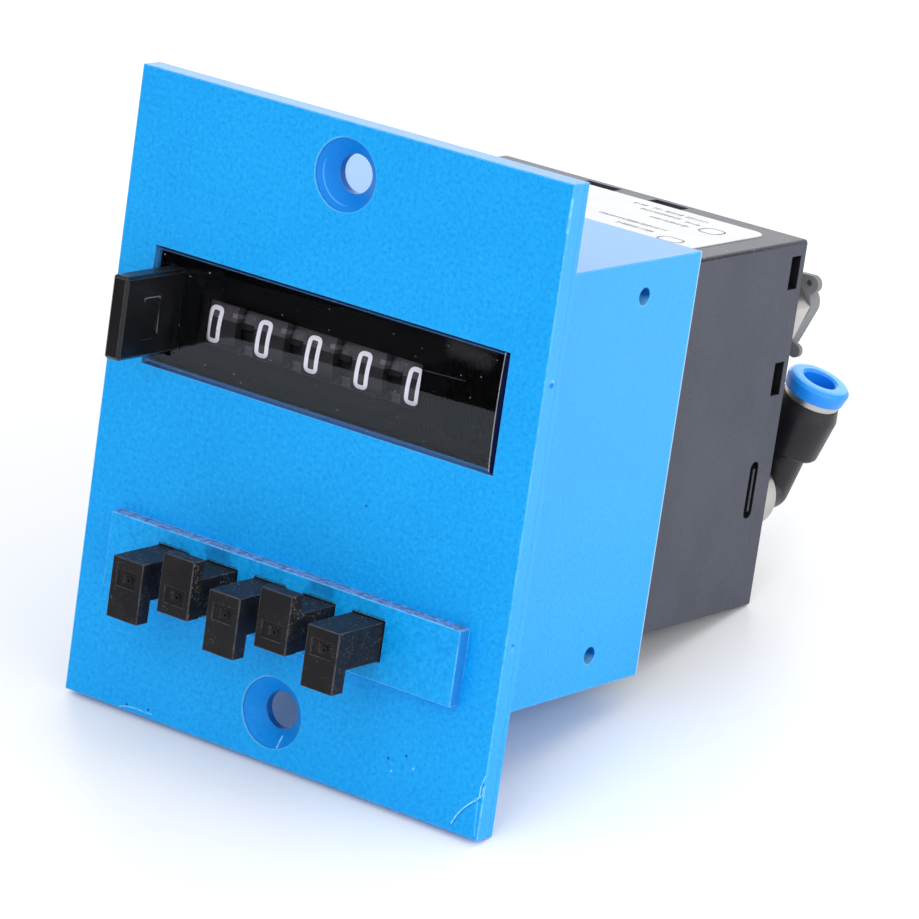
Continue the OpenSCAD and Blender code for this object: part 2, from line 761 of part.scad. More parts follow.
// Paper label on top of the housing
module rating_label() {
    front = sleeve_d + 0.5;
    rear = cover_y - 0.3;
    color("white") translate([0, (front + rear) / 2, housing_z + housing_h / 2])
        linear_extrude(0.1) rounded(housing_w - 7.2, rear - front, 2);
}

// Valve block that fills the rear of the housing, with cylinder, poppet chamber and ports
module valve_block() {
    w = inner_w - 2 * fit;
    h = inner_h - 2 * fit;
    color("#8d9094") difference() {
        along_y(block_y, cover_y) translate([0, housing_z]) rounded(w, h, 0.3);
        rod_y(piston_x, piston_z, cylinder_r, block_y - 1, cross_y + 1.5);
        rod_y(poppet_x, poppet_z, chamber_r, block_y - 1, cross_y + 1.5);
        for (x = [-1, 1], z = [port_low, port_high])
            rod_y(x * port_x, z, thread_r, cover_y - thread_len, cover_y + 1);
        rod_x(cross_y, port_low, passage_r, -port_x, port_x);
        rod_x(cross_y, port_high, passage_r, -port_x, port_x);
        for (p = cover_screws) rod_y(p[0], p[1], screw_r + fit, cover_y - screw_len + 2.5, cover_y + 1);
    }
}

// Front closure of the drive cylinder, bored for the piston rod
module cylinder_cap() {
    color("#c9a24e") difference() {
        rod_y(piston_x, piston_z, cylinder_r - fit, block_y, block_y + cap_t);
        rod_y(piston_x, piston_z, rod_r + run, block_y - 1, block_y + cap_t + 1);
    }
}

module drive_piston() {
    tip = rocker_y + lever_t / 2 + 0.1;
    color(steel) difference() {
        union() {
            rod_y(piston_x, piston_z, piston_r, piston_y, piston_y + piston_t);
            rod_y(piston_x, piston_z, rod_r, tip, piston_y + 1);
        }
        turned_y(piston_x, piston_y + piston_t / 2, piston_z)
            translate([groove_r, -groove_w / 2]) square([piston_r, groove_w]);
    }
}

module piston_seal() {
    inner = groove_r + 0.05;
    w = groove_w - 0.1;
    color("#1b1b1b") turned_y(piston_x, piston_y + piston_t / 2, piston_z)
        translate([inner, -w / 2]) square([cylinder_r - 0.02 - inner, w]);
}

module piston_spring() {
    y0 = piston_y - piston_stroke + 0.1;
    color(steel) coil_y(piston_x, piston_z, y0, piston_y, piston_spring_r, 0.35, 4);
}

// Bush pressed into the poppet chamber
module poppet_guide() {
    color("#c9a24e") difference() {
        rod_y(poppet_x, poppet_z, chamber_r - fit, block_y, block_y + guide_len);
        rod_y(poppet_x, poppet_z, poppet_stem_r + run, block_y - 1, block_y + guide_len + 1);
    }
}

module output_poppet() {
    seat = block_y + guide_len + fit;
    color(black) {
        rod_y(poppet_x, poppet_z, chamber_r - 0.6, seat, seat + poppet_head_t);
        rod_y(poppet_x, poppet_z, poppet_stem_r, trip_face + 0.1, seat + 0.5);
    }
}

module poppet_spring() {
    y0 = block_y + guide_len + fit + poppet_head_t;
    color(steel) coil_y(poppet_x, poppet_z, y0, cross_y + 1.5 - poppet_stroke - 0.1, 1.9, 0.3, 4);
}

// Nickel base of the push-in elbow: round flange, threaded stud and the spigot it swivels on
module elbow_base() {
    base_len = base_end - housing_y;
    color(nickel) difference() {
        union() {
            rod_y(port_x, port_low, stud_r, housing_y - stud_len, housing_y + 0.5);
            turned_y(port_x, housing_y, port_low)
                polygon([[0, 0], [base_r, 0], [base_r, base_len - 0.4], [base_r - 0.3, base_len],
                    [0, base_len]]);
            rod_y(port_x, port_low, spigot_r, base_end - 0.5, elbow_y + 1);
        }
        rod_y(port_x, port_low, passage_r, housing_y - stud_len - 1, elbow_y + 2);
    }
}

// Elbow: a rounded neck on the swivel axis and a stepped, tapered barrel that leans outwards
module elbow_body() {
    step_s = 5.9;
    color(black) difference() {
        union() {
            rod_y(port_x, port_low, neck_r, base_end + fit, elbow_y);
            leaning() {
                sphere(neck_r, $fn = 32);
                rotate_extrude()
                    polygon([[0, 0], [neck_r, 0], [neck_r, step_s], [barrel_r - 0.45, step_s],
                        [barrel_r - 0.25, step_s + 0.3], [barrel_r, collet_s - 1.5],
                        [barrel_r - 0.45, collet_s], [0, collet_s]]);
            }
        }
        rod_y(port_x, port_low, spigot_r + run, base_end - 1, elbow_y + 1.2);
        leaning() {
            cylinder(h = elbow_len, r = passage_r);
            translate([0, 0, seal_s - 3]) cylinder(h = elbow_len, r = tube_r);
            translate([0, 0, seal_s]) cylinder(h = elbow_len, r = collet_r + fit);
        }
    }
}

module collet_ring() {
    bore = collet_r - 0.4;
    color(nickel) leaning() translate([0, 0, collet_s]) rotate_extrude()
        polygon([[bore, -3.5], [collet_r, -3.5], [collet_r, 0], [cup_r, 0], [cup_r, cup_top], [bore, cup_top]]);
}

module tube_seal() {
    color("#1b1b1b") leaning() translate([0, 0, seal_s]) rotate_extrude()
        translate([tube_r + 0.05, 0]) square([collet_r - tube_r - 0.1, 0.9]);
}

// Blue ring that is pressed in to free the tube, with a skirt round the collet
module release_ring() {
    under = cup_top + ring_travel + 0.1;
    low = seal_s + 0.9 + ring_travel + 0.1 - collet_s;
    skirt = ring_travel + 0.25;
    top = elbow_len - collet_s;
    rim = barrel_r - 0.1;
    inner = cup_r + fit;
    color("#1f86ee") leaning() translate([0, 0, collet_s]) rotate_extrude()
        polygon([[tube_r, low], [collet_r - 0.5, low], [collet_r - 0.5, under], [inner, under],
            [inner, skirt], [rim - 0.2, skirt], [rim, skirt + 1.2], [rim, top - 0.5],
            [rim - 0.35, top - 0.1], [rim - 0.9, top], [tube_r + 0.3, top], [tube_r, top - 0.3]]);
}

// Nickel nipple in the upper port
module port_nipple() {
    color(nickel) difference() {
        union() {
            rod_y(port_x, port_high, stud_r, housing_y - stud_len, housing_y + 0.5);
            along_y(housing_y, nipple_y) translate([port_x, port_high]) rotate(10)
                circle(d = hex_af / cos(30), $fn = 6);
            rod_y(port_x, port_high, nipple_r, nipple_y - 0.5, nipple_y + nipple_len);
        }
        rod_y(port_x, port_high, passage_r, housing_y - stud_len - 1, nipple_y + nipple_len + 1);
    }
}

// Soft dust cap on the nipple, with a rim and an arm that ends in two pull tabs
module port_cap() {
    y0 = nipple_y + 0.05;
    color("#77787c") difference() {
        union() {
            turned_y(port_x, y0, port_high)
                polygon([[0, 0], [cap_r - 0.3, 0], [cap_r, 0.3], [cap_r, cap_rim_t - 0.3],
                    [cap_r - 0.3, cap_rim_t], [cap_dome_r, cap_rim_t], [cap_dome_r, cap_dome_t - 1],
                    [cap_dome_r - 0.9, cap_dome_t], [0, cap_dome_t]]);
            pull_tab([2.4, 0.9], 2.1, [1.95, -4], 0.6, y0, cap_rim_t);
            pull_tab([4, 3.45], 1.1, [2.4, 3.4], 1.1, y0, 1);
            pull_tab([3.2, -5], 0.85, [1.8, -4.4], 0.85, y0, 0.7);
        }
        rod_y(port_x, port_high, nipple_r + fit, y0 - 1, nipple_y + nipple_len + fit);
        rod_y(port_x + 3.8, port_high + 3.6, 0.4, y0 - 1, y0 + 0.5);
    }
}

// Flat tab between two round ends
module pull_tab(a, ra, b, rb, y0, t) {
    along_y(y0, y0 + t) translate([port_x, port_high]) hull() {
        translate(a) circle(ra);
        translate(b) circle(rb);
    }
}

front_frame();
display_window();
digit_mask();
reset_button();
reset_spring();
for (i = [0:wheels - 1]) {
    set_key(i);
    key_spring(i);
    number_wheel(i);
}
wheel_shaft();
side_plate_left();
side_plate(side_right);  // side_plate_right
tie_bars();
key_guide();
detent_comb();
drive_rocker();
rocker_shaft();
trip_lever();
trip_shaft();
rear_housing();
rear_cover();
rear_screws();
retaining_pins();
rating_label();
valve_block();
cylinder_cap();
drive_piston();
piston_seal();
piston_spring();
poppet_guide();
output_poppet();
poppet_spring();
elbow_base();
elbow_body();
collet_ring();
tube_seal();
release_ring();
port_nipple();
port_cap();
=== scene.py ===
# %% [markdown]
# # A panel-mounted time delay valve
#
# The valve counts air pulses: five number wheels sit behind a clear pane, a key under each wheel sets its
# figure, and the slab at the left of the pane resets them all. The solids come finished from a CAD model,
# which Blender may not move or reshape. This lesson dresses them. It makes the camera and the studio first,
# then the finishes, and then each piece that needs softer edges or more detail than the CAD solid has.

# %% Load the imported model
import json
import math
from functools import cache, reduce
import bmesh
import bpy
from mathutils import Matrix, Vector


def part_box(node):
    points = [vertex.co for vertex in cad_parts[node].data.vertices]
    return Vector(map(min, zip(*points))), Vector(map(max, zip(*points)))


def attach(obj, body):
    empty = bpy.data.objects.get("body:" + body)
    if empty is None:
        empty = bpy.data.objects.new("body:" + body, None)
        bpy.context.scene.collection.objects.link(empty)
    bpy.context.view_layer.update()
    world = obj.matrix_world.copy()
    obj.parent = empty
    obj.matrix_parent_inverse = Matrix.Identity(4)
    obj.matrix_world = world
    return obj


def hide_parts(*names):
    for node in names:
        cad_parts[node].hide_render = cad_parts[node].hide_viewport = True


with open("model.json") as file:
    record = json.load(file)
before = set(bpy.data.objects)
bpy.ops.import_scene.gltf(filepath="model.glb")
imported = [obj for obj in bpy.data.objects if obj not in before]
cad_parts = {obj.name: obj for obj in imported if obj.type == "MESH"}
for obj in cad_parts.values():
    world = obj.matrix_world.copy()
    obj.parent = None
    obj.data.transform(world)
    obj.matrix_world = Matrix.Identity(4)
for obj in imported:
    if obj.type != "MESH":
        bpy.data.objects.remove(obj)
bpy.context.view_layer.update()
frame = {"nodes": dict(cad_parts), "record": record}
MM = 0.001

# %% [markdown]
# ## Camera
#
# The photograph was taken with a long lens from the front right, with the camera rolled a little. Aimed by
# hand, a camera comes close at best. The place and the three directions below were solved from the plate's
# and the sleeve's corners in the photograph instead, so the render can be laid over it. A camera in Blender
# looks along its own -Z, so the third column of its matrix is the view turned round.

# %% Camera at the photograph's angle
eye = Vector((313.348, -443.358, 143.657)) * MM
eye_right = Vector((0.80360629, 0.57867684, 0.13910446))
eye_up = Vector((-0.2595481, 0.13041416, 0.95688397))
eye_ahead = Vector((-0.5355854, 0.80506227, -0.25499611))

lens = bpy.data.cameras.new("camera")
lens.lens, lens.sensor_width = 195.2146, 36
lens.clip_start, lens.clip_end = 0.01, 20
camera = bpy.data.objects.new("camera", lens)
camera.matrix_world = Matrix.Translation(eye) @ Matrix((eye_right, eye_up, -eye_ahead)).transposed().to_4x4()
bpy.context.scene.collection.objects.link(camera)
bpy.context.scene.camera = camera
print("camera", round(eye.length, 3), "m from the plate")

# %% [markdown]
# ## Node graphs in Python
#
# A material is a graph of nodes, and so is a Geometry Nodes tree. Both are hard to read when they hold much
# arithmetic. `Number` wraps an output socket and overloads the operators, so that `1 - mask * 0.3` adds its
# own Math nodes. `Graph` has one method that adds any other node: its type, the values or links of its
# sockets, and its settings as keywords, which are set first. A material builds on it in three steps: it
# knows where a point lies, it draws patterns there, and it mixes colours. `@cache` makes a node once,
# however often a finish asks for it.

# %% A number that varies over a surface
class Number:
    def __init__(self, graph, socket):
        self.graph, self.socket = graph, socket

    def math(self, operation, *values):
        return self.graph.node("ShaderNodeMath", dict(enumerate(values)), operation=operation)

    def __add__(self, other): return self.math("ADD", self, other)
    def __radd__(self, other): return self.math("ADD", other, self)
    def __sub__(self, other): return self.math("SUBTRACT", self, other)
    def __rsub__(self, other): return self.math("SUBTRACT", other, self)
    def __mul__(self, other): return self.math("MULTIPLY", self, other)
    def __rmul__(self, other): return self.math("MULTIPLY", other, self)
    def __abs__(self): return self.math("ABSOLUTE", self)

    def most(self, other): return self.math("MAXIMUM", self, other)
    def least(self, other): return self.math("MINIMUM", self, other)

    def rising(self, low, high):
        """0 below low, 1 above high, and smooth between them; high may be the lower one."""
        return self.graph.node("ShaderNodeMapRange", {"Value": self, "From Min": low, "From Max": high},
                               interpolation_type="SMOOTHSTEP")

    def near(self, centre, half, soft):
        """1 within half of centre, fading to 0 over soft."""
        return abs(self - centre).rising(half + soft, half)


# %% A graph of any kind
def socket_of(sockets, key):
    if isinstance(key, int):
        return sockets[key]
    return next(s for s in sockets if key in (s.identifier, s.name))


class Graph:
    def __init__(self, tree):
        self.tree = tree
        self.tree.nodes.clear()

    def node(self, kind, values=None, output=0, **settings):
        made = self.tree.nodes.new(kind)
        for name, value in settings.items():
            setattr(made, name, value)
        for key, value in (values or {}).items():
            socket = socket_of(made.inputs, key)
            if isinstance(value, Number):
                self.tree.links.new(value.socket, socket)
            else:
                socket.default_value = value
        return Number(self, socket_of(made.outputs, output) if made.outputs else None)

    def blend(self, share, first, second):
        """A shader between two shaders."""
        return self.node("ShaderNodeMixShader", {0: share, 1: first, 2: second})


# %% A material that knows where a point lies on its piece
class Placed(Graph):
    def __init__(self, name):
        self.material = bpy.data.materials.new(name)
        self.material.use_nodes = True
        super().__init__(self.material.node_tree)

    def vector(self, operation, values, output=0):
        return self.node("ShaderNodeVectorMath", values, output, operation=operation)

    @cache
    def place(self):
        """The point on the piece, in millimetres, as a vector."""
        point = self.node("ShaderNodeTexCoord", output="Object")
        return self.vector("SCALE", {0: point, "Scale": 1 / MM})

    @cache
    def axis(self, name):
        return self.node("ShaderNodeSeparateXYZ", {0: self.place()}, output=name)

    def axes(self):
        return self.axis("X"), self.axis("Y"), self.axis("Z")

    @cache
    def facing(self, name):
        """1 on faces that look along the named axis, 0 on those that look away or aside."""
        normal = self.node("ShaderNodeNewGeometry", output="Normal")
        return self.node("ShaderNodeSeparateXYZ", {0: normal}, output=name).rising(0.7, 0.95)


# %% Patterns over a piece: noise, specks, lines and spots
class Patterned(Placed):
    def noise(self, size, detail=2.0, rough=0.5, stretch=None):
        """Cloudy noise from 0 to 1 whose patches are about size millimetres."""
        point = self.place()
        if stretch:
            point = self.vector("MULTIPLY", {0: point, 1: stretch})
        return self.node("ShaderNodeTexNoise", {"Vector": point, "Scale": 1 / size, "Detail": detail,
                                                "Roughness": rough})

    def specks(self, spacing, radius, share):
        """1 on small round specks: about one per spacing, of which only a share is kept."""
        cell = {"Vector": self.place(), "Scale": 1 / spacing}
        away = self.node("ShaderNodeTexVoronoi", cell)
        tone = self.node("ShaderNodeTexVoronoi", cell, output="Color")
        draw = self.node("ShaderNodeSeparateColor", {0: tone}, output="Red")
        return (away * spacing).rising(radius, radius * 0.6) * draw.rising(share, share * 0.9)

    def from_line(self, start, end):
        """Millimetres from the point on the piece to a straight line between two points."""
        along = [e - s for s, e in zip(start, end)]
        square = sum(c * c for c in along)
        offset = self.vector("SUBTRACT", {0: self.place(), 1: start})
        share = self.vector("DOT_PRODUCT", {0: offset, 1: [c / square for c in along]}, "Value")
        nearest = self.vector("SCALE", {0: along, "Scale": share.most(0.0).least(1.0)})
        return self.vector("DISTANCE", {0: offset, 1: nearest}, "Value")

    def scored(self, points, half, soft=0.05):
        """1 along a scratch through the points, 0 beside it."""
        lines = [self.from_line(start, end) for start, end in zip(points, points[1:])]
        return reduce(Number.least, lines).rising(half + soft, half)

    def spot(self, centre, radius, soft=0.08):
        """1 on a round spot, 0 beside it."""
        return self.vector("DISTANCE", {0: self.place(), 1: centre}, "Value").rising(radius + soft, radius)


# %% A finish: its colours, its bump and the shader that closes it
class Finish(Patterned):
    def mix(self, share, first, second):
        """A colour between two colours."""
        return self.node("ShaderNodeMix", {"Factor_Float": share, "A_Color": first, "B_Color": second},
                         "Result_Color", data_type="RGBA")

    def bump(self, height, depth):
        """A normal from a height of 0 to 1 that stands for depth millimetres."""
        return self.node("ShaderNodeBump", {"Height": height, "Distance": depth * MM, "Strength": 1.0},
                         output="Normal")

    def surface(self, **values):
        """The Principled shader, with its sockets' names written with _ for a space."""
        return self.close(self.node("ShaderNodeBsdfPrincipled",
                                    {key.replace("_", " "): value for key, value in values.items()}))

    def close(self, shader):
        self.node("ShaderNodeOutputMaterial", {"Surface": shader})
        return self.material


print("a finish offers:", ", ".join(name for name in dir(Finish) if not name.startswith("_")))

# %% [markdown]
# ## Floor
#
# The valve lies tipped on two edges: the plate's lower rear edge and the housing's lower rear edge. The
# floor is the plane through both. It is a pale disc that fades out at its rim, so that it meets the white
# background without a line, whichever side the camera looks from.

# %% Floor under the two edges it rests on
plate_low, plate_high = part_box("front_frame")
shell_low, shell_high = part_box("rear_housing")
front_rest = Vector((0, 0, plate_low.z))
rear_rest = Vector((0, shell_high.y, shell_low.z))
floor_along = (rear_rest - front_rest).normalized()
floor_up = Vector((1, 0, 0)).cross(floor_along)
floor_mid = (front_rest + rear_rest) / 2 - floor_up * 0.05 * MM


def linked(name, mesh):
    piece = bpy.data.objects.new(name, mesh)
    bpy.context.scene.collection.objects.link(piece)
    return piece


disc_r = 0.5
disc = bmesh.new()
bmesh.ops.create_circle(disc, cap_ends=True, segments=96, radius=disc_r)
disc.transform(Matrix.Translation(floor_mid) @ Matrix((Vector((1, 0, 0)), floor_along, floor_up))
               .transposed().to_4x4())
floor = linked("floor", bpy.data.meshes.new("floor"))
disc.to_mesh(floor.data)
print("floor tips by", round(math.degrees(math.atan2(floor_along.z, floor_along.y)), 2), "degrees")

# %% Floor finish: satin white with painted light across it, that fades out at its rim
fade_from, fade_to = 150, 420
paper = Finish("studio_floor")
from_middle = paper.vector("DISTANCE", {0: paper.place(), 1: floor_mid / MM}, "Value")
# The floor is painted darker at the left and brighter at the right: painted light and shade for how the lamps
# fall on it.
painted_light_across = paper.axis("X").rising(-80, 40)
board = paper.node("ShaderNodeBsdfPrincipled", {
    "Base Color": paper.mix(painted_light_across, (0.84, 0.835, 0.82, 1), (0.98, 0.98, 0.985, 1)),
    "Roughness": 0.32, "Specular IOR Level": 0.35})
clear = paper.node("ShaderNodeBsdfTransparent")
floor.data.materials.append(paper.close(paper.blend(from_middle.rising(fade_from, fade_to), board, clear)))
print("floor fades out between", fade_from, "and", fade_to, "mm")

# %% [markdown]
# ## World and lamps
#
# The background is plain white. Light Path tells the world which rays ask: the camera, and rays that come
# off gloss or through glass, see white at strength 1, and all others see a softer light. So how white the
# background looks and how much it lights the valve are set apart. Four large lamps stand for soft boxes.

# %% White background, softer for the light it gives
world = bpy.data.worlds.new("studio")
world.use_nodes = True
bpy.context.scene.world = world
sky = Graph(world.node_tree)
seen = sky.node("ShaderNodeLightPath", output="Is Camera Ray")
for ray in ("Is Glossy Ray", "Is Transmission Ray"):
    seen = seen.most(sky.node("ShaderNodeLightPath", output=ray))
soft = sky.node("ShaderNodeBackground", {"Color": (0.97, 0.98, 1, 1), "Strength": 0.92})
white = sky.node("ShaderNodeBackground", {"Color": (1, 1, 1, 1), "Strength": 1.0})
sky.node("ShaderNodeOutputWorld", {"Surface": sky.blend(seen, soft, white)})
print("world has", len(sky.tree.nodes), "nodes")


# %% Soft boxes
lamp_aim = Vector((0, 0.02, 0))


def soft_box(name, at, size, watts):
    """An oblong lamp in metres and watts, turned towards the object."""
    data = bpy.data.lights.new(name, "AREA")
    data.shape, data.size, data.size_y, data.energy = "RECTANGLE", size[0], size[1], watts
    lamp = linked(name, data)
    lamp.location = at
    lamp.rotation_euler = (lamp_aim - Vector(at)).to_track_quat("-Z", "Y").to_euler()


soft_box("top_box", (0.15, 0.05, 0.85), (0.9, 0.7), 1.40)
soft_box("front_box", (0.05, -0.85, 0.40), (0.6, 0.6), 1.85)
soft_box("side_box", (0.85, -0.1, 0.3), (0.7, 0.6), 3.1)
soft_box("rear_box", (-0.52, 0.80, 0.26), (0.9, 0.35), 2.9)

# %% [markdown]
# The glossy pane shows the room in front of it: dark above, and below a curved line the pale floor. A black
# card stands where the pane's reflections go. Its lower edge was worked out by sending rays from the camera
# to the photographed line and off the pane, and only gloss sees it.

# %% A black card with the reflected line as its lower edge
card_foot = Vector((-0.30, -0.46, -0.152))
card_side = Vector((0.832, -0.554, 0.03)).normalized()
card_rise = Vector((-0.06, -0.1, 1)).normalized()
card_line = [(-72.8, -36.8), (-62.1, -15.3), (-55.3, 0.6), (-48.8, 12.1), (-43.6, 20.9), (-35.7, 22.1),
             (-25.6, 22.9), (-7.9, 21.1), (17.1, 20.9), (21.3, 20.5)]
card_far, card_top, card_low = 900, 750, -250
card_rim = [(-card_far, card_top), (-card_far, card_low), (-90, card_low), *card_line, (card_far, 20.5),
            (card_far, card_top)]
card = linked("black_card", bpy.data.meshes.new("black_card"))
card.data.from_pydata([card_foot + (card_side * side + card_rise * rise) * MM for side, rise in card_rim], [],
                      [tuple(range(len(card_rim)))])
card.visible_camera = card.visible_diffuse = card.visible_shadow = card.visible_transmission = False
velvet = Finish("black_velvet")
glow = velvet.node("ShaderNodeEmission", {"Color": (0.010, 0.010, 0.013, 1)})
card.data.materials.append(velvet.close(glow))
print("card has", len(card_rim), "corners")

# %% [markdown]
# ## Finishes
#
# Every finish reads the piece's own coordinates in millimetres, so its grain keeps the right scale and
# stays put when a piece moves. Each has at least a grain that bends the light a little and a slow change of
# colour, because a real moulding never shows one flat colour. A finish may take an `extra` function, which
# lays one piece's own marks over the recipe.

# %% Blue moulding: fine grain, faint clouds, and painted sheen on faces that look right or up
def moulded_blue(name="blue_moulding", extra=None):
    blue = Finish(name)
    cloud = blue.noise(9.0, 3.0)
    grain = blue.noise(0.62, 3.0, 0.6)
    mottle = blue.noise(0.5, 3.0, 0.75)
    colour = blue.mix(cloud.rising(0.3, 0.7), (0.0, 0.330, 0.81, 1), (0.002, 0.350, 0.84, 1))
    colour = blue.mix(mottle.rising(0.50, 0.66) * 0.60, colour, (0.0, 0.22, 0.65, 1))
    colour = blue.mix(mottle.rising(0.48, 0.32) * 0.45, colour, (0.03, 0.44, 0.95, 1))
    # Faces that look along +X are painted paler, more so higher up: a painted sheen of the white studio.
    side_sheen_rise = blue.axis("Z").rising(-30, 14)
    colour = blue.mix(blue.facing("X") * (side_sheen_rise * 0.25 + 0.25), colour, (0.085, 0.385, 0.86, 1))
    # Faces that look up are painted paler and greyer: a painted sheen of the light from above.
    colour = blue.mix(blue.facing("Z") * 0.8, colour, (0.17, 0.345, 0.69, 1))
    rough = 0.40 + grain * 0.14
    normal = blue.bump(grain, 0.035)
    if extra:
        colour, rough = extra(blue, colour, rough)
    return blue.surface(Base_Color=colour, Roughness=rough, Specular_IOR_Level=0.20, Normal=normal)


finishes = {"blue_moulding": moulded_blue()}
print("made", list(finishes))


# %% Black, grey and rubber mouldings share one recipe
def moulding(name, dark, light, rough, grain_size, depth, gloss=0.5, extra=None):
    made = Finish(name)
    cloud = made.noise(6.0, 3.0)
    grain = made.noise(grain_size, 3.0, 0.6)
    colour = made.mix(cloud.rising(0.3, 0.7), (*dark, 1), (*light, 1))
    shine = rough + grain * 0.15
    if extra:
        colour, shine = extra(made, colour, shine)
    return made.surface(Base_Color=colour, Roughness=shine, Specular_IOR_Level=gloss,
                        Normal=made.bump(grain, depth))


def dusty(top, share=0.5):
    """Marks for a handled black piece: clouds of grey specks, and dust on whatever looks up."""
    def laid(made, colour, shine):
        clouds = made.noise(3.0, 2.0).rising(0.42, 0.62)
        spots = made.noise(0.28, 3.0, 0.75).rising(0.6, 0.72) * clouds * share
        film = made.facing("Z") * (made.noise(0.5, 3.0, 0.7).rising(0.25, 0.7) * 0.6 + 0.4) * top
        cover = spots.most(film)
        return made.mix(cover, colour, (0.20, 0.20, 0.22, 1)), shine + cover * 0.35
    return laid


# %% Painted sheen on the push ring, painted shade on the housing's tops, and marks of the label and the housing
def painted_top_sheen(made, colour, shine):
    """The ring's upper face is painted paler than its flank: a painted sheen of the light from above."""
    return made.mix(made.facing("Z") * 0.5, colour, (0.10, 0.52, 1.0, 1)), shine


def printed_stock(made, colour, shine):
    """Paper fibres, a little darker than the sheet."""
    fibre = made.noise(0.35, 3.0, 0.7, (1, 3, 1)).rising(0.45, 0.75)
    return made.mix(fibre * 0.12, colour, (0.42, 0.43, 0.45, 1)), shine


def shot_grain(made, colour, shine):
    """The housing's spark-eroded grain, with a few white specks caught in it, and painted shade on faces that
    look up.
    """
    pits = made.noise(0.22, 2.0, 0.7).rising(0.45, 0.62)
    worn = made.noise(0.9, 4.0, 0.8).rising(0.50, 0.70)
    white = made.specks(1.0, 0.11, 0.30)
    colour = made.mix(pits * 0.5, colour, (0.060, 0.067, 0.092, 1))
    colour = made.mix(worn * 0.35, colour, (0.026, 0.030, 0.043, 1))
    # Faces that look up are painted darker: painted shade that tones down the light from above.
    colour = made.mix(made.facing("Z") * 0.35, colour, (0.022, 0.025, 0.035, 1))
    return made.mix(white * 0.8, colour, (0.5, 0.52, 0.56, 1)), shine


# %% The mouldings: two tones, roughness, size and depth of the grain, gloss, marks
grey_housing = ((0.040, 0.045, 0.064), (0.050, 0.056, 0.078), 0.45, 0.3, 0.045, 0.4)
for slot, *recipe in (
        ("black_plastic", (0.008, 0.008, 0.010), (0.013, 0.013, 0.016), 0.26, 0.4, 0.008, 0.5, dusty(0.12)),
        ("wheel_plastic", (0.020, 0.018, 0.022), (0.028, 0.025, 0.030), 0.5, 0.5, 0.006),
        ("seal_rubber", (0.012, 0.012, 0.012), (0.02, 0.02, 0.02), 0.55, 0.3, 0.01),
        ("cap_rubber", (0.175, 0.177, 0.185), (0.215, 0.217, 0.225), 0.55, 0.35, 0.02, 0.4),
        ("ring_blue", (0.004, 0.25, 0.88), (0.006, 0.28, 0.92), 0.28, 0.8, 0.004, 0.5, painted_top_sheen),
        ("label_paper", (0.66, 0.665, 0.67), (0.71, 0.71, 0.715), 0.5, 1.5, 0.004, 0.2, printed_stock),
        ("housing_plastic", *grey_housing, shot_grain)):
    finishes[slot] = moulding(slot, *recipe)
print("made", len(finishes), "finishes")


# %% Metals: a fine brushed or turned streak over a satin base
def metal(name, colour, rough, stretch):
    made = Finish(name)
    streak = made.noise(0.5, 4.0, 0.65, stretch)
    stain = made.noise(4.0, 3.0)
    tint = tuple(c * 0.82 for c in colour)
    tone = made.mix(stain.rising(0.35, 0.75) * 0.7, (*colour, 1), (*tint, 1))
    return made.surface(Base_Color=tone, Metallic=1.0, Roughness=rough + streak * 0.14,
                        Normal=made.bump(streak, 0.004))


for slot, *recipe in (("steel", (0.56, 0.57, 0.59), 0.26, (1, 0.12, 4)),
                      ("zinc", (0.48, 0.49, 0.52), 0.34, (1, 1, 1)),
                      ("block_metal", (0.62, 0.63, 0.65), 0.36, (0.1, 5, 1)),
                      ("brass", (0.72, 0.52, 0.22), 0.24, (3, 0.3, 3)),
                      ("nickel", (0.50, 0.485, 0.46), 0.24, (2, 0.5, 2))):
    finishes[slot] = metal(slot, *recipe)
print("made", len(finishes), "finishes")


# %% [markdown]
# The pane mixes a mirror over clear plastic by the Fresnel share, so it is clear from the front and shines at
# a slant. A glass shader does that too, but it bends the light on its way to the figures and needs far more
# samples. Its rim is painted: along three sides the blue of the moulding as a painted reflection, and at the
# right a pale line as a painted highlight beside a dark navy band of painted shade. Dust lies on it, most at
# the left.

# %% Clear pane: bare gloss over whatever lies behind it
pane_low, pane_high = (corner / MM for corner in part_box("display_window"))


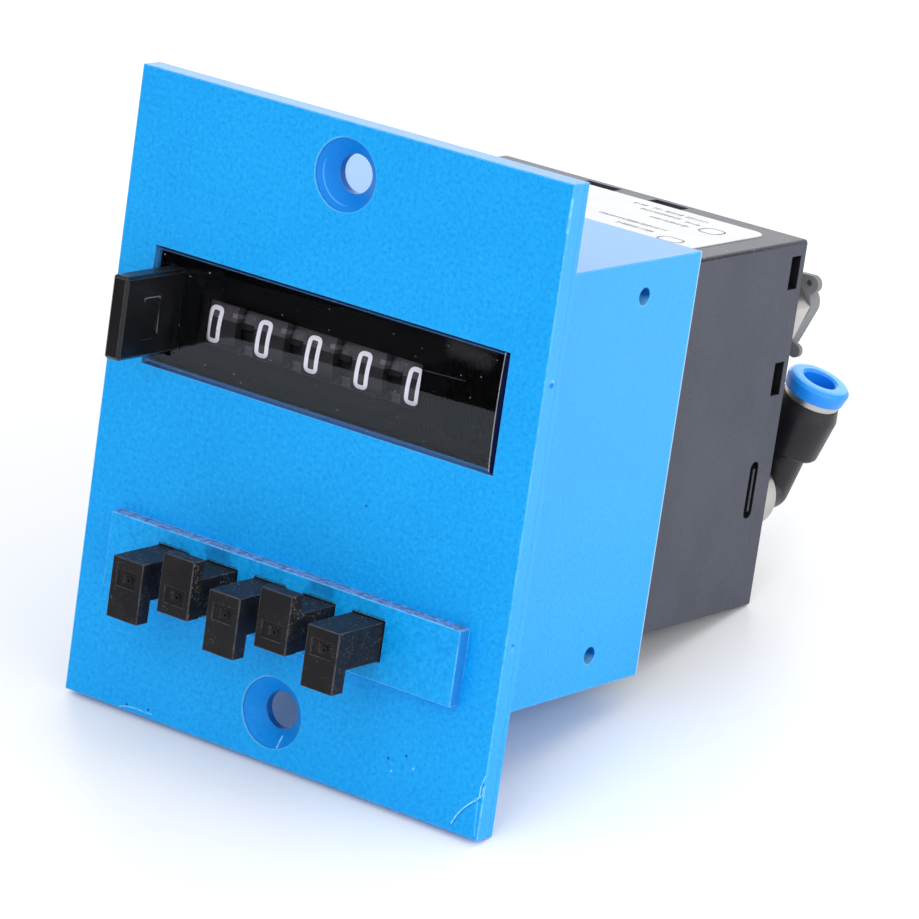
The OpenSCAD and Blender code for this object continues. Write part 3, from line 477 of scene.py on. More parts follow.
def clear_pane():
    pane = Finish("clear_pane")
    across, upright = pane.axis("X"), pane.axis("Z")
    more_left = across.rising(14.0, -24.0)
    specks = pane.specks(1.25, 0.10, 0.75) * (more_left * 0.6 + 0.4)
    film = pane.noise(0.22, 2.0, 0.7).rising(0.68, 0.76) * pane.noise(4.0).rising(0.45, 0.7) * 0.15
    dust = specks.most(film * (more_left * 0.8 + 0.2)) * 0.75
    smear = pane.from_line((17.6, -2.9, 16.3), (21.8, -2.9, 15.9)).rising(1.9, 0.0) * 0.030
    # Painted reflection of the blue moulding along the top, bottom and left of the rim.
    upper = upright.near(pane_high.z - 0.16, 0.05, 0.08) * 0.6
    lower = upright.near(pane_low.z + 0.26, 0.08, 0.14) * 0.7
    left = across.near(pane_low.x + 0.2, 0.06, 0.10) * 0.5
    # A painted highlight along the right edge.
    right = across.near(pane_high.x - 0.62, 0.03, 0.06) * 0.5
    rim = upper.most(lower).most(left)
    # A dark navy band at the right end: painted shade.
    right_shade_band = across.rising(pane_high.x - 0.50, pane_high.x - 0.44)
    mirror = pane.node("ShaderNodeBsdfPrincipled",
                       {"Base Color": (0.76, 0.86, 1, 1), "Metallic": 1.0, "Roughness": 0.02})
    through = pane.node("ShaderNodeBsdfTransparent", {"Color": (0.975, 0.975, 0.98, 1)})
    # Grey for dust, the smear and the painted highlight; blue for the painted reflection; navy for the
    # painted shade.
    grey, blue, painted_shade_navy = (pane.node("ShaderNodeBsdfDiffuse", {"Color": tone}) for tone in (
        (0.55, 0.55, 0.57, 1), (0.055, 0.14, 0.33, 1), (0.004, 0.008, 0.04, 1)))
    behind = pane.node("ShaderNodeNewGeometry", output="Backfacing")
    shine = pane.node("ShaderNodeFresnel", {"IOR": 1.5}) * (1 - behind)
    lined = pane.blend(rim, pane.blend(shine, through, mirror), blue)
    return pane.close(pane.blend(dust.most(smear).most(right), pane.blend(right_shade_band, lined, painted_shade_navy), grey))


finishes["clear_pane"] = clear_pane()
missing = [m["slot"] for m in frame["record"]["materials"] if m["slot"] not in finishes]
print("slots without a finish:", missing)


# %% Give every CAD node its finish
def dress(piece, finish):
    piece.data.materials.clear()
    piece.data.materials.append(finish)


slot_of = {part["node"]: part["material_slot"] for part in frame["record"]["subparts"]}
body_of = {node: body for body, nodes in frame["record"]["behaviour"]["bodies"].items() for node in nodes}
for node_name, cad_piece in frame["nodes"].items():
    dress(cad_piece, finishes[slot_of[node_name]])
print("dressed", len(slot_of), "nodes")

# %% [markdown]
# ## Soft edges
#
# A CAD edge is perfectly sharp, and a real moulding's never is: the light catches its small radius. A CAD
# mesh may not be changed, so each piece that shows is copied. The copy's loose triangles are merged, its
# flat faces are made whole again, its edges are rounded, and the copy stands in for its node.
#
# Rounded edges shade well only if the flat faces stay flat right up to them. So every corner of every face
# gets its normal here: a flat face keeps its own, and the narrow rounded faces turn from one to the next.
# On some pieces the rounded edges are painted paler: a painted highlight of the light that their small
# radius catches. A Bevel modifier doesn't say which faces it made, but bmesh does, so they may have a finish
# of their own.

# %% Copy a node and round its edges
def merged(node):
    """The node's mesh as a bmesh, its loose triangles joined and its flat faces made whole."""
    bm = bmesh.new()
    bm.from_mesh(frame["nodes"][node].data)
    bmesh.ops.remove_doubles(bm, verts=bm.verts, dist=0.002 * MM)
    bmesh.ops.dissolve_limit(bm, angle_limit=math.radians(0.6), verts=bm.verts, edges=bm.edges)
    return bm


def round_edges(bm, width, least=32.0, shortest=0.25, segments=2):
    """Rounds the sharp edges and gives back the faces that this made."""
    chosen = [e for e in bm.edges if len(e.link_faces) == 2 and e.calc_length() > shortest * MM
              and math.degrees(e.calc_face_angle(0)) > least]
    return set(bmesh.ops.bevel(bm, geom=chosen, offset=width * MM, offset_type="OFFSET", segments=segments,
                               profile=0.5, affect="EDGES", clamp_overlap=True)["faces"])


# %% A finish for edges painted pale: a painted highlight
def edge_highlight(tone, share, extra=None):
    """A painted highlight that mixes a paler tone into a finish, unevenly; extra is laid first."""
    def laid(made, colour, shine):
        if extra:
            colour, shine = extra(made, colour, shine)
        uneven = made.noise(0.9, 3.0, 0.7).rising(0.30, 0.62) * 0.7 + 0.3
        return made.mix(uneven * share, colour, tone), shine
    return laid


# %% A normal for each corner of each face
def corner_normals(bm, rounded, flat_limit=25.0, round_limit=62.0):
    bm.normal_update()
    area = {face: face.calc_area() for face in bm.faces}
    found = []
    for face in bm.faces:
        limit = math.radians(round_limit if face in rounded else flat_limit)
        for corner in face.loops:
            close = [f for f in corner.vert.link_faces if f.normal.angle(face.normal, 0) < limit]
            plain = [f for f in close if f not in rounded]
            total = sum((f.normal * area[f] for f in plain or close), Vector())
            found.append(total.normalized() if total.length_squared > 0 else face.normal.copy())
    return found


def piece_from(bm, name, body, slot, finish=None, rounded=(), edge=None):
    """A finished piece from a bmesh, riding on its body; its rounded edges may have a finish of their own."""
    directions = corner_normals(bm, rounded)
    for face in bm.faces:
        face.smooth = True
        face.material_index = 1 if edge and face in rounded else 0
    piece = linked(name, bpy.data.meshes.new(name))
    bm.to_mesh(piece.data)
    bm.free()
    piece.data.normals_split_custom_set(directions)
    piece.data.materials.append(finish or finishes[slot])
    if edge:
        piece.data.materials.append(edge)
    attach(piece, body)
    return piece


def soften(node, name, width, finish=None, edge=None):
    """A copy of the node with edges rounded by width millimetres, which stands in for it."""
    bm = merged(node)
    rounded = round_edges(bm, width)
    piece = piece_from(bm, name, body_of[node], slot_of[node], finish, rounded, edge)
    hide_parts(node)
    print(name, "has", len(piece.data.polygons), "faces,", len(rounded), "of them rounded edges")


# %% [markdown]
# ## Front moulding
#
# Its marks are the photographed ones, each at its own place on the plate: a chip at the right, a scratch
# below, specks, dust on the key pad's ledge and dirt along the slots above the keys. With them comes painted
# light: painted highlights along the plate's right edge, the pad's edges and the sleeve's rear edge, and
# painted shade and highlights round the holes, under the scratch, above two keys, at the pad's end and along
# the window's sill. An image could hold them too, but numbers stay sharp at any distance and are easy to
# change. The functions below make masks, which are 1 on a mark and 0 beside it, and mix a colour in by each.

# %% Places on the front moulding, in millimetres
edge_x, front_y, foot_z = plate_high.x / MM, -3.0, plate_low.z / MM
pad_top, pad_foot, pad_front, pad_side = -14.05, -23.0, -4.8, 25.0
key_x, key_pitch = -15.45, 7.0
sink_r, sink_z = 4.2, 31.5
pin_r, pin_y, pin_z = 1.03, 21.67, 21.3
sleeve_x, sleeve_y = 25.5, 32.7
print("keys from", key_x, "to", key_x + 4 * key_pitch, "mm; screws", 2 * sink_z, "mm apart")


# %% Pale scratches and chips, and painted highlights along edges
def on_front(*points):
    """Points (across, up) on the plate's face."""
    return [(x, front_y, z) for x, z in points]


curl = [(26.25, -36.57), (26.5, -35.97), (26.82, -35.35), (27.23, -34.73), (27.66, -34.2), (28.1, -33.74),
        (28.69, -33.2), (29.2, -32.9), (29.47, -32.4), (29.47, -31.27), (29.62, -30.64), (29.88, -29.8)]
hook = [(28.69, -33.2), (29.04, -32.73), (29.59, -32.44), (29.8, -32.0), (29.78, -31.2)]
strand = [(29.3, -33.1), (29.38, -33.95), (29.42, -35.1), (29.42, -36.2), (29.55, -37.0)]
foot_chip = [(-21.7, -37.25), (-20.8, -36.95), (-19.4, -36.8), (-18.3, -36.85), (-16.9, -36.8)]
pad_rim = [(-pad_side, pad_front, pad_top), (pad_side, pad_front, pad_top), (pad_side, pad_front, pad_foot)]

# The first two lines are painted highlights along the plate's right front edge, and the last a painted
# highlight along the key pad's top and right edges.
# The points of each line, half its width, how far it fades, and how strongly it shows.
pale_lines = [(on_front((edge_x, foot_z), (edge_x, -foot_z)), 0.04, 0.08, 0.14),
              (on_front((edge_x, -37.2), (edge_x, -31.0)), 0.06, 0.10, 0.45),
              (on_front(*curl), 0.05, 0.05, 1.0),
              (on_front(*hook), 0.04, 0.05, 0.8),
              (on_front(*strand), 0.05, 0.05, 0.4),
              (on_front(*foot_chip), 0.06, 0.05, 0.6),
              (on_front((edge_x, 32.3), (edge_x + 0.1, 35.8)), 0.22, 0.10, 0.6),
              ([(0.99, -1.73, -34.26), (1.2, -2.83, -35.34)], 0.07, 0.10, 1.0),
              (pad_rim, 0.04, 0.08, 0.25)]
pale_spots = [((17.34, front_y, -33.11), 0.09, 0.08, 0.8), ((20.23, front_y, -31.97), 0.09, 0.08, 0.8),
              ((edge_x, -1.65, 15.22), 0.30, 0.12, 0.6), ((edge_x, -1.65, -15.10), 0.30, 0.12, 0.6)]


def strongest(*masks):
    return reduce(Number.most, masks)


def pale_marks(blue):
    lines = [blue.scored(points, half, soft) * share for points, half, soft, share in pale_lines]
    uneven = blue.noise(0.9, 3.0, 0.7).rising(0.30, 0.60) * 0.7 + 0.3
    spots = [blue.spot(centre, radius, soft) * share for centre, radius, soft, share in pale_spots]
    return strongest(strongest(*lines) * uneven, *spots)


print(len(pale_lines), "pale lines and", len(pale_spots), "chips")

# %% Dark marks: specks, a dark line in the chip, the parting line, and painted shade: the scratch's shadow, above two keys, at the pad's end and along the window's sill
dark_spots = [(16.68, -31.76), (19.05, -30.8), (8.93, -4.34), (-20.7, -36.75), (-17.5, -36.45)]


def dark_marks(blue):
    across, depth, upright = blue.axes()
    beneath = blue.scored(on_front(*((x + 0.13, z - 0.14) for x, z in curl[::2])), 0.05) * 0.5
    hollow = blue.scored(on_front((edge_x, 33.0), (edge_x + 0.1, 35.0)), 0.05, 0.10) * 0.7
    parting = depth.near(-0.9, 0.03, 0.05) * across.rising(edge_x - 0.1, edge_x) * 0.35
    specks = [blue.spot((x, front_y, z), 0.13) * 0.9 for x, z in dark_spots]
    shades = [blue.from_line((x - 0.9, pad_front, z), (x + 0.9, pad_front, z)).rising(1.6, 0.2) * 0.45
              for x, z in ((-9.2, -14.7), (5.8, -14.5))]
    # The key pad's right end is painted darker: painted shade.
    pad_end = across.near(pad_side, 0.06, 0.05) * depth.near(-3.95, 0.84, 0.05) * 0.45
    # A dark line along the foot of the window's opening: painted shade.
    sill = upright.near(3.5, 0.03, 0.04) * depth.rising(-2.98, -2.9) * across.near(0, 24.9, 0.1) * 0.55
    return strongest(beneath, hollow, parting, *specks, *shades, pad_end, sill)


print(len(dark_spots), "dark specks")


# %% Marks round the screw holes and the pin holes
def around_screws(blue, colour, dark, light):
    """The countersinks are painted a deeper blue, with a dark line on the left rim and dark walls, all
    painted shade, and a pale rim just outside at the left, a painted highlight.
    """
    across, depth, upright = blue.axes()
    for z, share in ((sink_z, 0.9), (-sink_z, 0.6)):
        away = blue.from_line((0, -5, z), (0, 5, z))
        # The cone is painted a deeper blue: painted shade in the countersink.
        cone = away.rising(sink_r, sink_r - 0.05) * depth.rising(front_y - 0.02, front_y + 0.04)
        colour = blue.mix(cone * share, colour, (0.0, 0.20, 0.68, 1))
        # A dark line on the left rim and dark walls in the hole: painted shade.
        rim = away.near(sink_r - 0.05, 0.03, 0.09) * across.rising(1.2, -1.2)
        wall = away.rising(2.32, 2.27) * depth.rising(front_y, front_y + 1.0)
        dark = strongest(dark, rim * 0.6, wall * 0.6)
        # A pale line just outside the left rim: a painted highlight.
        halo = away.near(sink_r + 0.12, 0.02, 0.08) * across.rising(0.5, -2.0)
        light = light.most(halo * 0.3)
        if z > 0:
            # A pale arc along the upper hole's step: a painted highlight.
            step = away.near(3.55, 0.03, 0.06) * across.rising(1.0, -1.0) * upright.rising(z + 1.5, z) * cone
            light = light.most(step * 0.3)
    return colour, dark, light


def around_pins(blue, dark, light):
    """Each pin hole is painted dark inside and on its rim above, as painted shade, with a pale rim below as a
    painted highlight.
    """
    upright = blue.axis("Z")
    for z in (-pin_z, pin_z):
        away = blue.from_line((20, pin_y, z), (30, pin_y, z))
        above = away.near(pin_r, 0.04, 0.08) * upright.rising(z - 0.6, z + 0.2)
        dark = strongest(dark, above * 0.8, away.rising(pin_r + 0.03, pin_r - 0.03) * 0.8)
        light = light.most(away.near(pin_r, 0.03, 0.08) * upright.rising(z, z - 0.6) * 0.5)
    return dark, light


# %% Dust on the key pad's ledge and grime along the keys' slots
def pad_dirt(blue, colour, rough):
    across, depth, upright = blue.axes()
    grit = blue.noise(0.3, 3.0, 0.75)
    drift = blue.noise(1.0, 4.0, 0.8)
    ledge = upright.near(pad_top, 0.05, 0.05) * depth.rising(front_y, front_y - 0.06)
    ledge = ledge * across.near(0, pad_side, 0.02)
    by_plate = depth.rising(front_y - 0.7, front_y - 0.2)
    swept = drift.rising(0.50, 0.60).most(by_plate * drift.rising(0.38, 0.50))
    dust = blue.mix(grit.rising(0.40, 0.60), (0.085, 0.20, 0.42, 1), (0.20, 0.31, 0.52, 1))
    dust = blue.mix(swept * 0.9, dust, (0.035, 0.06, 0.14, 1))
    colour = blue.mix(ledge * (drift.rising(0.40, 0.54) * 0.55 + 0.2), colour, dust)
    colour = blue.mix(ledge * blue.specks(0.8, 0.17, 0.20), colour, (0.60, 0.55, 0.62, 1))
    beside = across.math("WRAP", across - key_x, key_pitch / 2, -key_pitch / 2)
    grime = upright.near(-15.8, 0.10, 0.12) * depth.near(pad_front, 0.06, 0.04) * beside.near(0.0, 2.2, 0.15)
    grime = grime * across.near(key_x + 2 * key_pitch, 2.4 * key_pitch, 0.1) * grit.rising(0.3, 0.6)
    return blue.mix(grime * 0.8, colour, (0.035, 0.07, 0.06, 1)), rough + ledge * 0.3


# %% The front moulding's wear, with its painted shade and highlights
def front_wear_and_painted_light(blue, colour, rough):
    colour, dark, light = around_screws(blue, colour, dark_marks(blue), pale_marks(blue))
    dark, light = around_pins(blue, dark, light)
    foot_line = blue.scored(on_front((-edge_x, foot_z), (edge_x, foot_z)), 0.08, 0.16)
    foot_line = foot_line * blue.noise(1.5).rising(0.3, 0.6)
    # A pale line along the sleeve's rear edge: a painted highlight.
    rear_line = blue.scored([(sleeve_x, sleeve_y, -26.0), (sleeve_x, sleeve_y, 26.0)], 0.22, 0.18)
    # The dark marks join real specks and the parting line with painted shade, and the pale marks join
    # scratches and chips with painted highlights.
    colour = blue.mix(dark, colour, (0.002, 0.07, 0.30, 1))
    colour = blue.mix(foot_line * 0.8, colour, (0.07, 0.11, 0.34, 1))
    colour = blue.mix(light, colour, (0.24, 0.66, 0.96, 1))
    colour = blue.mix(rear_line * 0.75, colour, (0.46, 0.60, 0.66, 1))
    return pad_dirt(blue, colour, rough)


soften("front_frame", "front_moulding", 0.07, moulded_blue("used_blue", front_wear_and_painted_light),
       moulded_blue("rubbed_blue", edge_highlight((0.24, 0.64, 0.97, 1), 0.45, front_wear_and_painted_light)))

# %% [markdown]
# ## Window
#
# Behind the pane lie a black mask with one slot, and the five wheels. A wheel is dark, with a paler band
# painted above each figure: painted light where the rim turns up to the light from above. Blender's own
# text could give the figures, but it lies flat and has other shapes. So they are thin printed strips wrapped
# on the rim: every digit is a line of points, and one function rounds its corners, another gives it a width.

# %% Pane and mask
soften("display_window", "window_pane", 0.05)


def mask_marks(made, colour, shine):
    """One fine scratch at the right."""
    scratch = made.scored([(12.86, -1.7, 12.32), (18.89, -1.7, 12.56)], 0.02, 0.04) * 0.35
    return made.mix(scratch, colour, (0.3, 0.3, 0.3, 1)), shine


mask_finish = moulding("mask_black", (0.0015, 0.0015, 0.002), (0.0025, 0.0025, 0.003), 0.5, 0.4, 0.004, 0.08,
                       mask_marks)
soften("digit_mask", "slotted_mask", 0.04, mask_finish)

# %% Wheel finish: bands of painted light that repeat with the figures
wheel_y, wheel_z, wheel_r = 7.85, 10.2, 9.0
wheel_x, wheel_pitch, figures = -15.8, 7.0, 10
# Patches of painted light: the middle and half height in degrees, the middle and half width in millimetres.
band_patches = [(9.0, 1.6, 1.9, 0.35), (8.5, 4.0, 2.7, 0.4), (11.0, 2.5, 3.6, 0.5)]


def painted_light_band(made, colour, shine):
    """A band of painted light before each figure, paler on the ratchet beside the rim and in a few patches;
    the angle runs round the wheel and starts again at each figure.
    """
    across, depth, upright = made.axes()
    turn = upright.math("ARCTAN2", upright - wheel_z, wheel_y - depth)
    angle = turn.math("WRAP", turn * math.degrees(1), 26.0, 26.0 - 360 / figures)
    beside = across.math("WRAP", across - wheel_x, wheel_pitch - 2.4, -2.4)
    band = angle.near(11.4, 6.9, 0.5)
    patches = strongest(*(angle.near(up, tall, 0.3) * beside.near(over, wide, 0.06)
                          for up, tall, over, wide in band_patches))
    cloud = made.noise(0.8, 3.0, 0.7)
    # Paler on the ratchet beside the rim: painted light against its shade.
    pale = made.mix(beside.rising(2.2, 2.4), (0.075, 0.066, 0.080, 1), (0.14, 0.128, 0.15, 1))
    pale = made.mix(patches, pale, (0.18, 0.17, 0.20, 1))
    return made.mix(band * (cloud.rising(0.2, 0.8) * 0.4 + 0.6), colour, pale), shine


wheel_finish = moulding("banded_wheel", (0.012, 0.011, 0.013), (0.018, 0.016, 0.019), 0.5, 0.5, 0.006, 0.3,
                        painted_light_band)
for i in range(1, 6):
    dress(frame["nodes"][f"number_wheel_{i}"], wheel_finish)
print("wheel bands repeat every", 360 / figures, "degrees")

# %% The digits as lines of points (across, up), in millimetres
W, H = 0.70, 1.99
DIGITS = [
    [("loop", [(-W, -H), (-W, H), (W, H), (W, -H)])],
    [("line", [(-0.5, 1.3), (0.15, H), (0.15, -H)])],
    [("line", [(-W, 1.25), (-W, H), (W, H), (W, 0.2), (-W, -0.9), (-W, -H), (W + 0.1, -H)])],
    [("line", [(-W, 1.25), (-W, H), (W, H), (W, 0.06), (-0.25, 0.06)]),
     ("line", [(-0.25, 0.0), (W, 0.0), (W, -H), (-W, -H), (-W, -1.25)])],
    [("line", [(0.4, -H), (0.4, H), (-W, -0.75), (W + 0.15, -0.75)])],
    [("line", [(W, H), (-W, H), (-W, 0.3), (W, 0.3), (W, -H), (-W, -H), (-W, -1.25)])],
    [("line", [(W, 1.25), (W, H), (-W, H), (-W, -H), (W, -H), (W, 0.2), (-W + 0.2, 0.2)])],
    [("line", [(-W, H), (W, H), (-0.1, -H)])],
    [("loop", [(-W, 0.05), (-W, H), (W, H), (W, 0.05)]),
     ("loop", [(-W, -H), (-W, 0.05), (W, 0.05), (W, -H)])],
    [("line", [(-W, -1.25), (-W, -H), (W, -H), (W, H), (-W, H), (-W, -0.2), (W - 0.2, -0.2)])],
]
print(len(DIGITS), "digits from", sum(len(points) for digit in DIGITS for _, points in digit), "points")


# %% Round a line's corners, then cut it into short steps
def rounded_line(points, closed, radius=0.55, turns=6, step=0.4):
    points = [Vector(p) for p in points]
    count, out = len(points), []
    for i, here in enumerate(points):
        before, after = points[i - 1] - here, points[(i + 1) % count] - here
        if not closed and i in (0, count - 1):
            out.append(here)
            continue
        reach = min(radius, before.length * 0.48, after.length * 0.48)
        start, end = here + before.normalized() * reach, here + after.normalized() * reach
        for k in range(turns + 1):
            t = k / turns
            out.append(start * (1 - t) ** 2 + here * 2 * t * (1 - t) + end * t ** 2)
    fine = []
    for a, b in zip(out, out[1:] + out[:1] if closed else out[1:]):
        cuts = max(1, math.ceil((b - a).length / step))
        fine += [a.lerp(b, k / cuts) for k in range(cuts)]
    return fine if closed else fine + [out[-1]]


def strip(bm, line, closed, half, place):
    """A thin closed strip along the line; place(across, up, lift) puts a point on the piece."""
    count, rings = len(line), []
    for i, here in enumerate(line):
        ahead = line[(i + 1) % count] if closed or i < count - 1 else here
        behind = line[i - 1] if closed or i > 0 else here
        run = (ahead - behind).normalized()
        side = Vector((-run.y, run.x)) * half
        rings.append([bm.verts.new(place(*(here + side * s), lift))
                      for s, lift in ((1, 1), (-1, 1), (-1, 0), (1, 0))])
    pairs = list(zip(rings, rings[1:])) + ([(rings[-1], rings[0])] if closed else [])
    for a, b in pairs:
        for k in range(4):
            bm.faces.new((a[k], b[k], b[(k + 1) % 4], a[(k + 1) % 4]))
    if not closed:
        bm.faces.new(rings[0])
        bm.faces.new(rings[-1][::-1])


# %% Print the ten figures on each wheel
print_finish = moulding("figure_print", (0.78, 0.77, 0.86), (0.82, 0.81, 0.90), 0.5, 0.3, 0.002, 0.2)
lean, left_of_rim, print_drift, centre_angle = 0.08, 0.72, 0.075, -1.5
for i in range(1, 6):
    bm = bmesh.new()
    middle = wheel_x + wheel_pitch * (i - 1) - left_of_rim + print_drift * (i - 3)
    for value, strokes in enumerate(DIGITS):
        turned = math.radians(centre_angle + 360 / figures * value)

        def on_rim(across, up, lift):
            angle, reach = turned + up / wheel_r, wheel_r - 0.02 + 0.05 * lift
            return Vector((middle + across + lean * up, wheel_y - reach * math.cos(angle),
                           wheel_z + reach * math.sin(angle))) * MM

        for kind, points in strokes:
            strip(bm, rounded_line(points, kind == "loop"), kind == "loop", 0.27, on_rim)
    bmesh.ops.recalc_face_normals(bm, faces=bm.faces)
    printed = piece_from(bm, f"figures_{i}", f"wheel_{i}", "wheel_plastic", print_finish)
print("figures:", len(printed.data.polygons), "faces on each wheel")

# %% [markdown]
# ## Keys, reset button and housing
#
# A key steps its wheel by one figure, and the slab at the left resets them all. Dust dulls whatever looks
# up, the keys' flanks are speckled by the dirt of years, and the edges are painted paler as a painted
# highlight. Each key could be painted by hand, but one finish that asks which way a face looks serves all
# five, and another colours the edges. Little light gets into the housing's catch windows and latch pocket,
# so a mask darkens them.

# %% Keys and button
key_flank = -6.22


def handled(made, colour, shine):
    """Dust on a key's top, and rusty dirt on its right flank, most on the second and the fourth key."""
    colour, shine = dusty(0.03, 0.5)(made, colour, shine)
    patchy = made.noise(2.2, 2.0)
    lines = made.noise(0.35, 3.0, 0.7, (3, 0.3, 1)).rising(0.56, 0.68) * 0.5
    spots = made.specks(0.5, 0.14, 0.45) * patchy.rising(0.46, 0.56)
    colour = made.mix(lines.most(spots) * made.facing("Z"), colour, (0.15, 0.16, 0.18, 1))
    rust = made.specks(0.42, 0.14, 0.55).most(made.noise(0.3, 3.0, 0.8).rising(0.56, 0.66))
    across = made.axis("X")
    dirty = across.near(key_flank, 0.3, 0.1).most(across.near(key_flank + 2 * key_pitch, 0.3, 0.1))
    rust = rust * patchy.rising(0.42, 0.55) * made.facing("X") * (dirty * 0.6 + 0.25)
    return made.mix(rust, colour, (0.22, 0.17, 0.11, 1)), shine + rust * 0.2


key_black = ((0.009, 0.009, 0.011), (0.014, 0.013, 0.016), 0.42, 0.35, 0.016, 0.18)
key_finish = moulding("key_black", *key_black, handled)
key_edge = moulding("key_edge", *key_black, edge_highlight((0.11, 0.11, 0.12, 1), 0.8, handled))
for i in range(1, 6):
    soften(f"set_key_{i}", f"key_cap_{i}", 0.12, key_finish, key_edge)


def thumbed(made, colour, shine):
    """Dust, and a worn outline on the slab's right side."""
    colour, shine = dusty(0.08, 0.45)(made, colour, shine)
    ring = [(-21.3, y, z) for y, z in ((-8.45, 12.6), (-5.75, 12.6), (-5.55, 8.3), (-8.25, 8.3),
                                       (-8.45, 12.6))]
    worn = made.scored(ring, 0.03, 0.07) * (made.noise(1.2).rising(0.3, 0.6) * 0.4 + 0.4)
    return made.mix(worn, colour, (0.22, 0.22, 0.23, 1)), shine


slab_black = ((0.004, 0.004, 0.005), (0.007, 0.007, 0.008), 0.24, 0.4, 0.006, 0.38)
button_edge = moulding("button_edge", *slab_black, edge_highlight((0.30, 0.30, 0.31, 1), 0.8, thumbed))
soften("reset_button", "reset_slab", 0.15, moulding("button_black", *slab_black, thumbed), button_edge)

# %% Housing and rear cover
side_x, top_z = shell_high.x / MM, shell_high.z / MM
latch_y, latch_z = 57.35, -7.35
catch_y, catch_high, catch_low = 59.3, 19.4, 6.3


def shell_marks(made, colour, shine):
    """The catch windows and the latch pocket are painted dark inside as painted shade, and a dark line runs
    along the right side's top edge.
    """
    colour, shine = shot_grain(made, colour, shine)
    across, depth, upright = made.axes()
    # The openings of the catch windows and the latch pocket, with its rib, are painted dark: painted shade.
    sunk = across.rising(side_x - 0.04, side_x - 0.12)
    inside = sunk * across.rising(side_x - 3.0, side_x - 2.5) * depth.near(catch_y, 1.15, 0.05)
    opening = upright.near(catch_high, 2.15, 0.05).most(upright.near(catch_low, 2.15, 0.05)) * inside
    shallow = across.rising(side_x - 1.2, side_x - 0.9)
    groove = depth.near(latch_y, 0.95, 0.02) * upright.near(latch_z, 3.6, 0.02) * sunk
    rib = depth.near(latch_y, 0.5, 0.02) * upright.near(latch_z, 2.7, 0.05) * 0.6
    opening = opening.most(groove.most(rib) * shallow)
    # A dark line along the top edge of the right side, fading towards the rear.
    marking = made.scored([(side_x, 33.0, top_z - 0.2), (side_x, 61.0, top_z - 0.2)], 0.13, 0.09)
    marking = marking * (made.noise(0.8).rising(0.3, 0.5) * 0.6 + 0.4) * depth.rising(66.0, 44.0)
    return made.mix(opening.most(marking), colour, (0.004, 0.004, 0.005, 1)), shine


soften("rear_housing", "rear_shell", 0.10, moulding("shell_grey", *grey_housing, shell_marks),
       moulding("shell_edge", *grey_housing, edge_highlight((0.16, 0.17, 0.19, 1), 0.5, shell_marks)))
soften("rear_cover", "cover_plate", 0.12)
soften("rear_screws", "cover_screws", 0.05)

# %% [markdown]
# ## Fittings
#
# The elbow swivels on a nickel base, and its blue ring lets the tube go when it is pressed. Above it, a soft
# cap closes a nickel nipple. They are turned or moulded pieces, so their CAD solids only need soft edges.

# %% Elbow, ring, nipple and cap
soften("elbow_body", "elbow_shell", 0.08, moulding(
    "elbow_black", (0.005, 0.004, 0.007), (0.007, 0.006, 0.009), 0.30, 0.5, 0.002, 0.42, dusty(0.03, 0.25)))
for node, name, width in (("collet_ring", "collet_sleeve", 0.06), ("release_ring", "push_ring", 0.08),
                          ("elbow_base", "swivel_base", 0.07), ("port_nipple", "hexagon_nipple", 0.10),
                          ("port_cap", "pull_cap", 0.12)):
    soften(node, name, width)

# %% [markdown]
# ## Springs by Geometry Nodes
#
# A spring returns each key, the button, the piston and the poppet. A Screw modifier could wind one, but a
# group with named inputs makes all eight. It winds a spiral, gives it a round section, turns it to lie along
# Y and sets its metal. Each spring sets the inputs by their identifiers and is then baked, so that the
# finished piece has a plain mesh and no modifier.

# %% A group that winds a spring
def new_group(name, inputs):
    """A Geometry Nodes group and the identifiers of its inputs by name."""
    tree = bpy.data.node_groups.new(name, "GeometryNodeTree")
    tree.interface.new_socket(name="Geometry", in_out="OUTPUT", socket_type="NodeSocketGeometry")
    tree.interface.new_socket(name="Geometry", in_out="INPUT", socket_type="NodeSocketGeometry")
    made = {key: tree.interface.new_socket(name=key, in_out="INPUT", socket_type=f"NodeSocket{kind}")
            for key, kind in inputs.items()}
    return Graph(tree), {key: socket.identifier for key, socket in made.items()}


def taken(graph, name):
    return graph.node("NodeGroupInput", output=name)


wind, wind_keys = new_group("coil_spring", {"Radius": "Float", "Wire": "Float", "Length": "Float",
                                            "Turns": "Float", "Place": "Vector", "Metal": "Material"})
spiral = wind.node("GeometryNodeCurveSpiral", {
    "Resolution": 24, "Rotations": taken(wind, "Turns"), "Start Radius": taken(wind, "Radius"),
    "End Radius": taken(wind, "Radius"), "Height": taken(wind, "Length") - taken(wind, "Wire") * 2})
section = wind.node("GeometryNodeCurvePrimitiveCircle", {"Resolution": 10, "Radius": taken(wind, "Wire")})
wire = wind.node("GeometryNodeCurveToMesh", {"Curve": spiral, "Profile Curve": section, "Fill Caps": True})
turned = wind.node("GeometryNodeTransform", {
    "Geometry": wire, "Translation": taken(wind, "Place"), "Rotation": (-math.pi / 2, 0, 0)})
smooth = wind.node("GeometryNodeSetShadeSmooth", {"Geometry": turned})
coated = wind.node("GeometryNodeSetMaterial", {"Geometry": smooth, "Material": taken(wind, "Metal")})
wind.node("NodeGroupOutput", {"Geometry": coated})
print("the spring group has", len(wind.tree.nodes), "nodes")


# %% Grow a piece by a group and bake it
def grown(name, mesh, graph, keys, settings, body):
    piece = linked(name, mesh)
    grow = piece.modifiers.new("grow", "NODES")
    grow.node_group = graph.tree
    for key, value in settings.items():
        grow[keys[key]] = value
    looked = bpy.context.evaluated_depsgraph_get()
    looked.update()
    done = bpy.data.meshes.new_from_object(piece.evaluated_get(looked), depsgraph=looked)
    piece.modifiers.clear()
    piece.data = done
    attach(piece, body)
    return piece


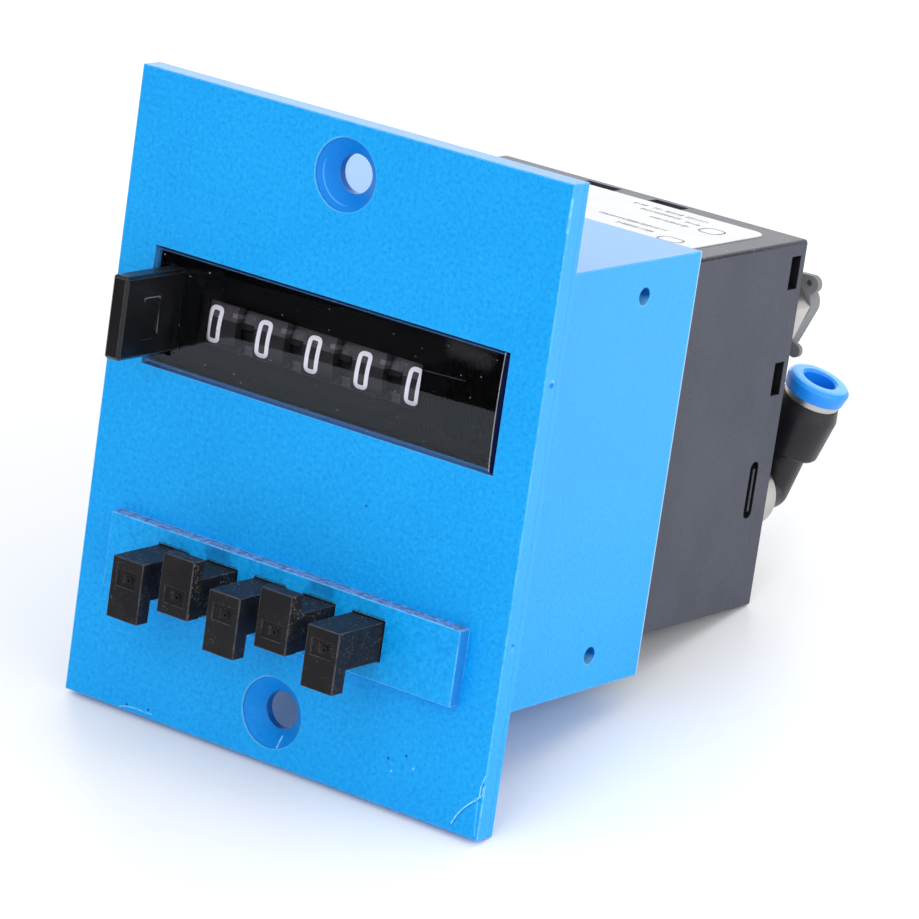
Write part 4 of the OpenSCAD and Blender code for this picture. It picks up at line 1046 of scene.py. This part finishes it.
# %% Wind the springs
wound = {f"key_spring_{i}": (0.2, 5.0) for i in range(1, 6)}
wound |= {"reset_spring": (0.18, 5.0), "piston_spring": (0.35, 4.0), "poppet_spring": (0.3, 4.0)}
for node, (wire_r, turns) in wound.items():
    low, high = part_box(node)
    settings = {"Radius": (high.z - low.z) / 2 - wire_r * MM, "Wire": wire_r * MM,
                "Length": high.y - low.y, "Turns": turns, "Metal": finishes["steel"],
                "Place": ((low.x + high.x) / 2, low.y + wire_r * MM, (low.z + high.z) / 2)}
    spring = grown(node.replace("spring", "coil"), bpy.data.meshes.new(node), wind, wind_keys, settings,
                   body_of[node])
    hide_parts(node)
print(len(wound), "springs;", len(spring.data.polygons), "faces on the last one")

# %% [markdown]
# ## Label
#
# The printed lines on the paper label are too slanted to be read, so they are plain marks. Each word is one
# edge of a mesh, and a second group sets small upright marks along it, with lengths and widths drawn from a
# fixed seed.

# %% A group that fills edges with small marks
mark, mark_keys = new_group("word_marks", {"Pitch": "Float", "Least": "Vector", "Most": "Vector",
                                           "Seed": "Int", "Ink": "Material"})
words = mark.node("GeometryNodeMeshToCurve", {"Mesh": taken(mark, "Geometry")})
spaced = mark.node("GeometryNodeResampleCurve", {"Curve": words, "Length": taken(mark, "Pitch")},
                   mode="LENGTH")
dab = mark.node("GeometryNodeMeshCube", {"Size": (1, 1, 1)})
least, most, seed = (taken(mark, name) for name in ("Least", "Most", "Seed"))
drawn = mark.node("FunctionNodeRandomValue", {0: least, 1: most, "Seed": seed}, data_type="FLOAT_VECTOR")
placed = mark.node("GeometryNodeInstanceOnPoints", {"Points": spaced, "Instance": dab, "Scale": drawn})
made_real = mark.node("GeometryNodeRealizeInstances", {"Geometry": placed})
inked = mark.node("GeometryNodeSetMaterial", {"Geometry": made_real, "Material": taken(mark, "Ink")})
mark.node("NodeGroupOutput", {"Geometry": inked})
print("the marks group has", len(mark.tree.nodes), "nodes")

# %% Print the label's lines
ink_finish = moulding("label_ink", (0.12, 0.12, 0.13), (0.17, 0.17, 0.18), 0.6, 0.5, 0.002, 0.2)
label_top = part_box("rating_label")[1].z / MM
rows = [(55.4, [(1.42, 2.94), (4.17, 5.04), (6.02, 8.08), (8.9, 11.8)]), (53.4, [(3.71, 9.05)]),
        (52.9, [(10.42, 12.05)]), (50.7, [(6.79, 11.94)]), (46.0, [(2.62, 11.95)]), (43.7, [(6.69, 11.48)])]
ends = [(x, y, label_top) for y, spans in rows for span in spans for x in span]
lines = bpy.data.meshes.new("label_lines")
lines.from_pydata([Vector(p) * MM for p in ends], [(i, i + 1) for i in range(0, len(ends), 2)], [])
printed = grown("label_print", lines, mark, mark_keys, {
    "Pitch": 0.40 * MM, "Least": (0.12 * MM, 0.5 * MM, 0.02 * MM), "Most": (0.30 * MM, 1.0 * MM, 0.02 * MM),
    "Seed": 4, "Ink": ink_finish}, "valve")
print("label:", len(printed.data.polygons) // 6, "marks")

# %% Two drawn outlines on the label
bm = bmesh.new()
for left, right, near, far in ((13.4, 16.1, 50.3, 53.3), (13.5, 16.5, 41.2, 43.7)):
    corners = [(left, near), (left, far), (right, far), (right, near)]
    strip(bm, rounded_line(corners, True, 1.1), True, 0.12,
          lambda across, up, lift: Vector((across, up, label_top - 0.01 + 0.02 * lift)) * MM)
bmesh.ops.recalc_face_normals(bm, faces=bm.faces)
outlines = piece_from(bm, "label_outlines", "valve", "label_paper", ink_finish)
print("outlines:", len(outlines.data.polygons), "faces")

# %% [markdown]
# ## Colour view
#
# The scene shows its colours through Blender's Standard view transform.

bpy.context.scene.view_settings.view_transform = "Standard"
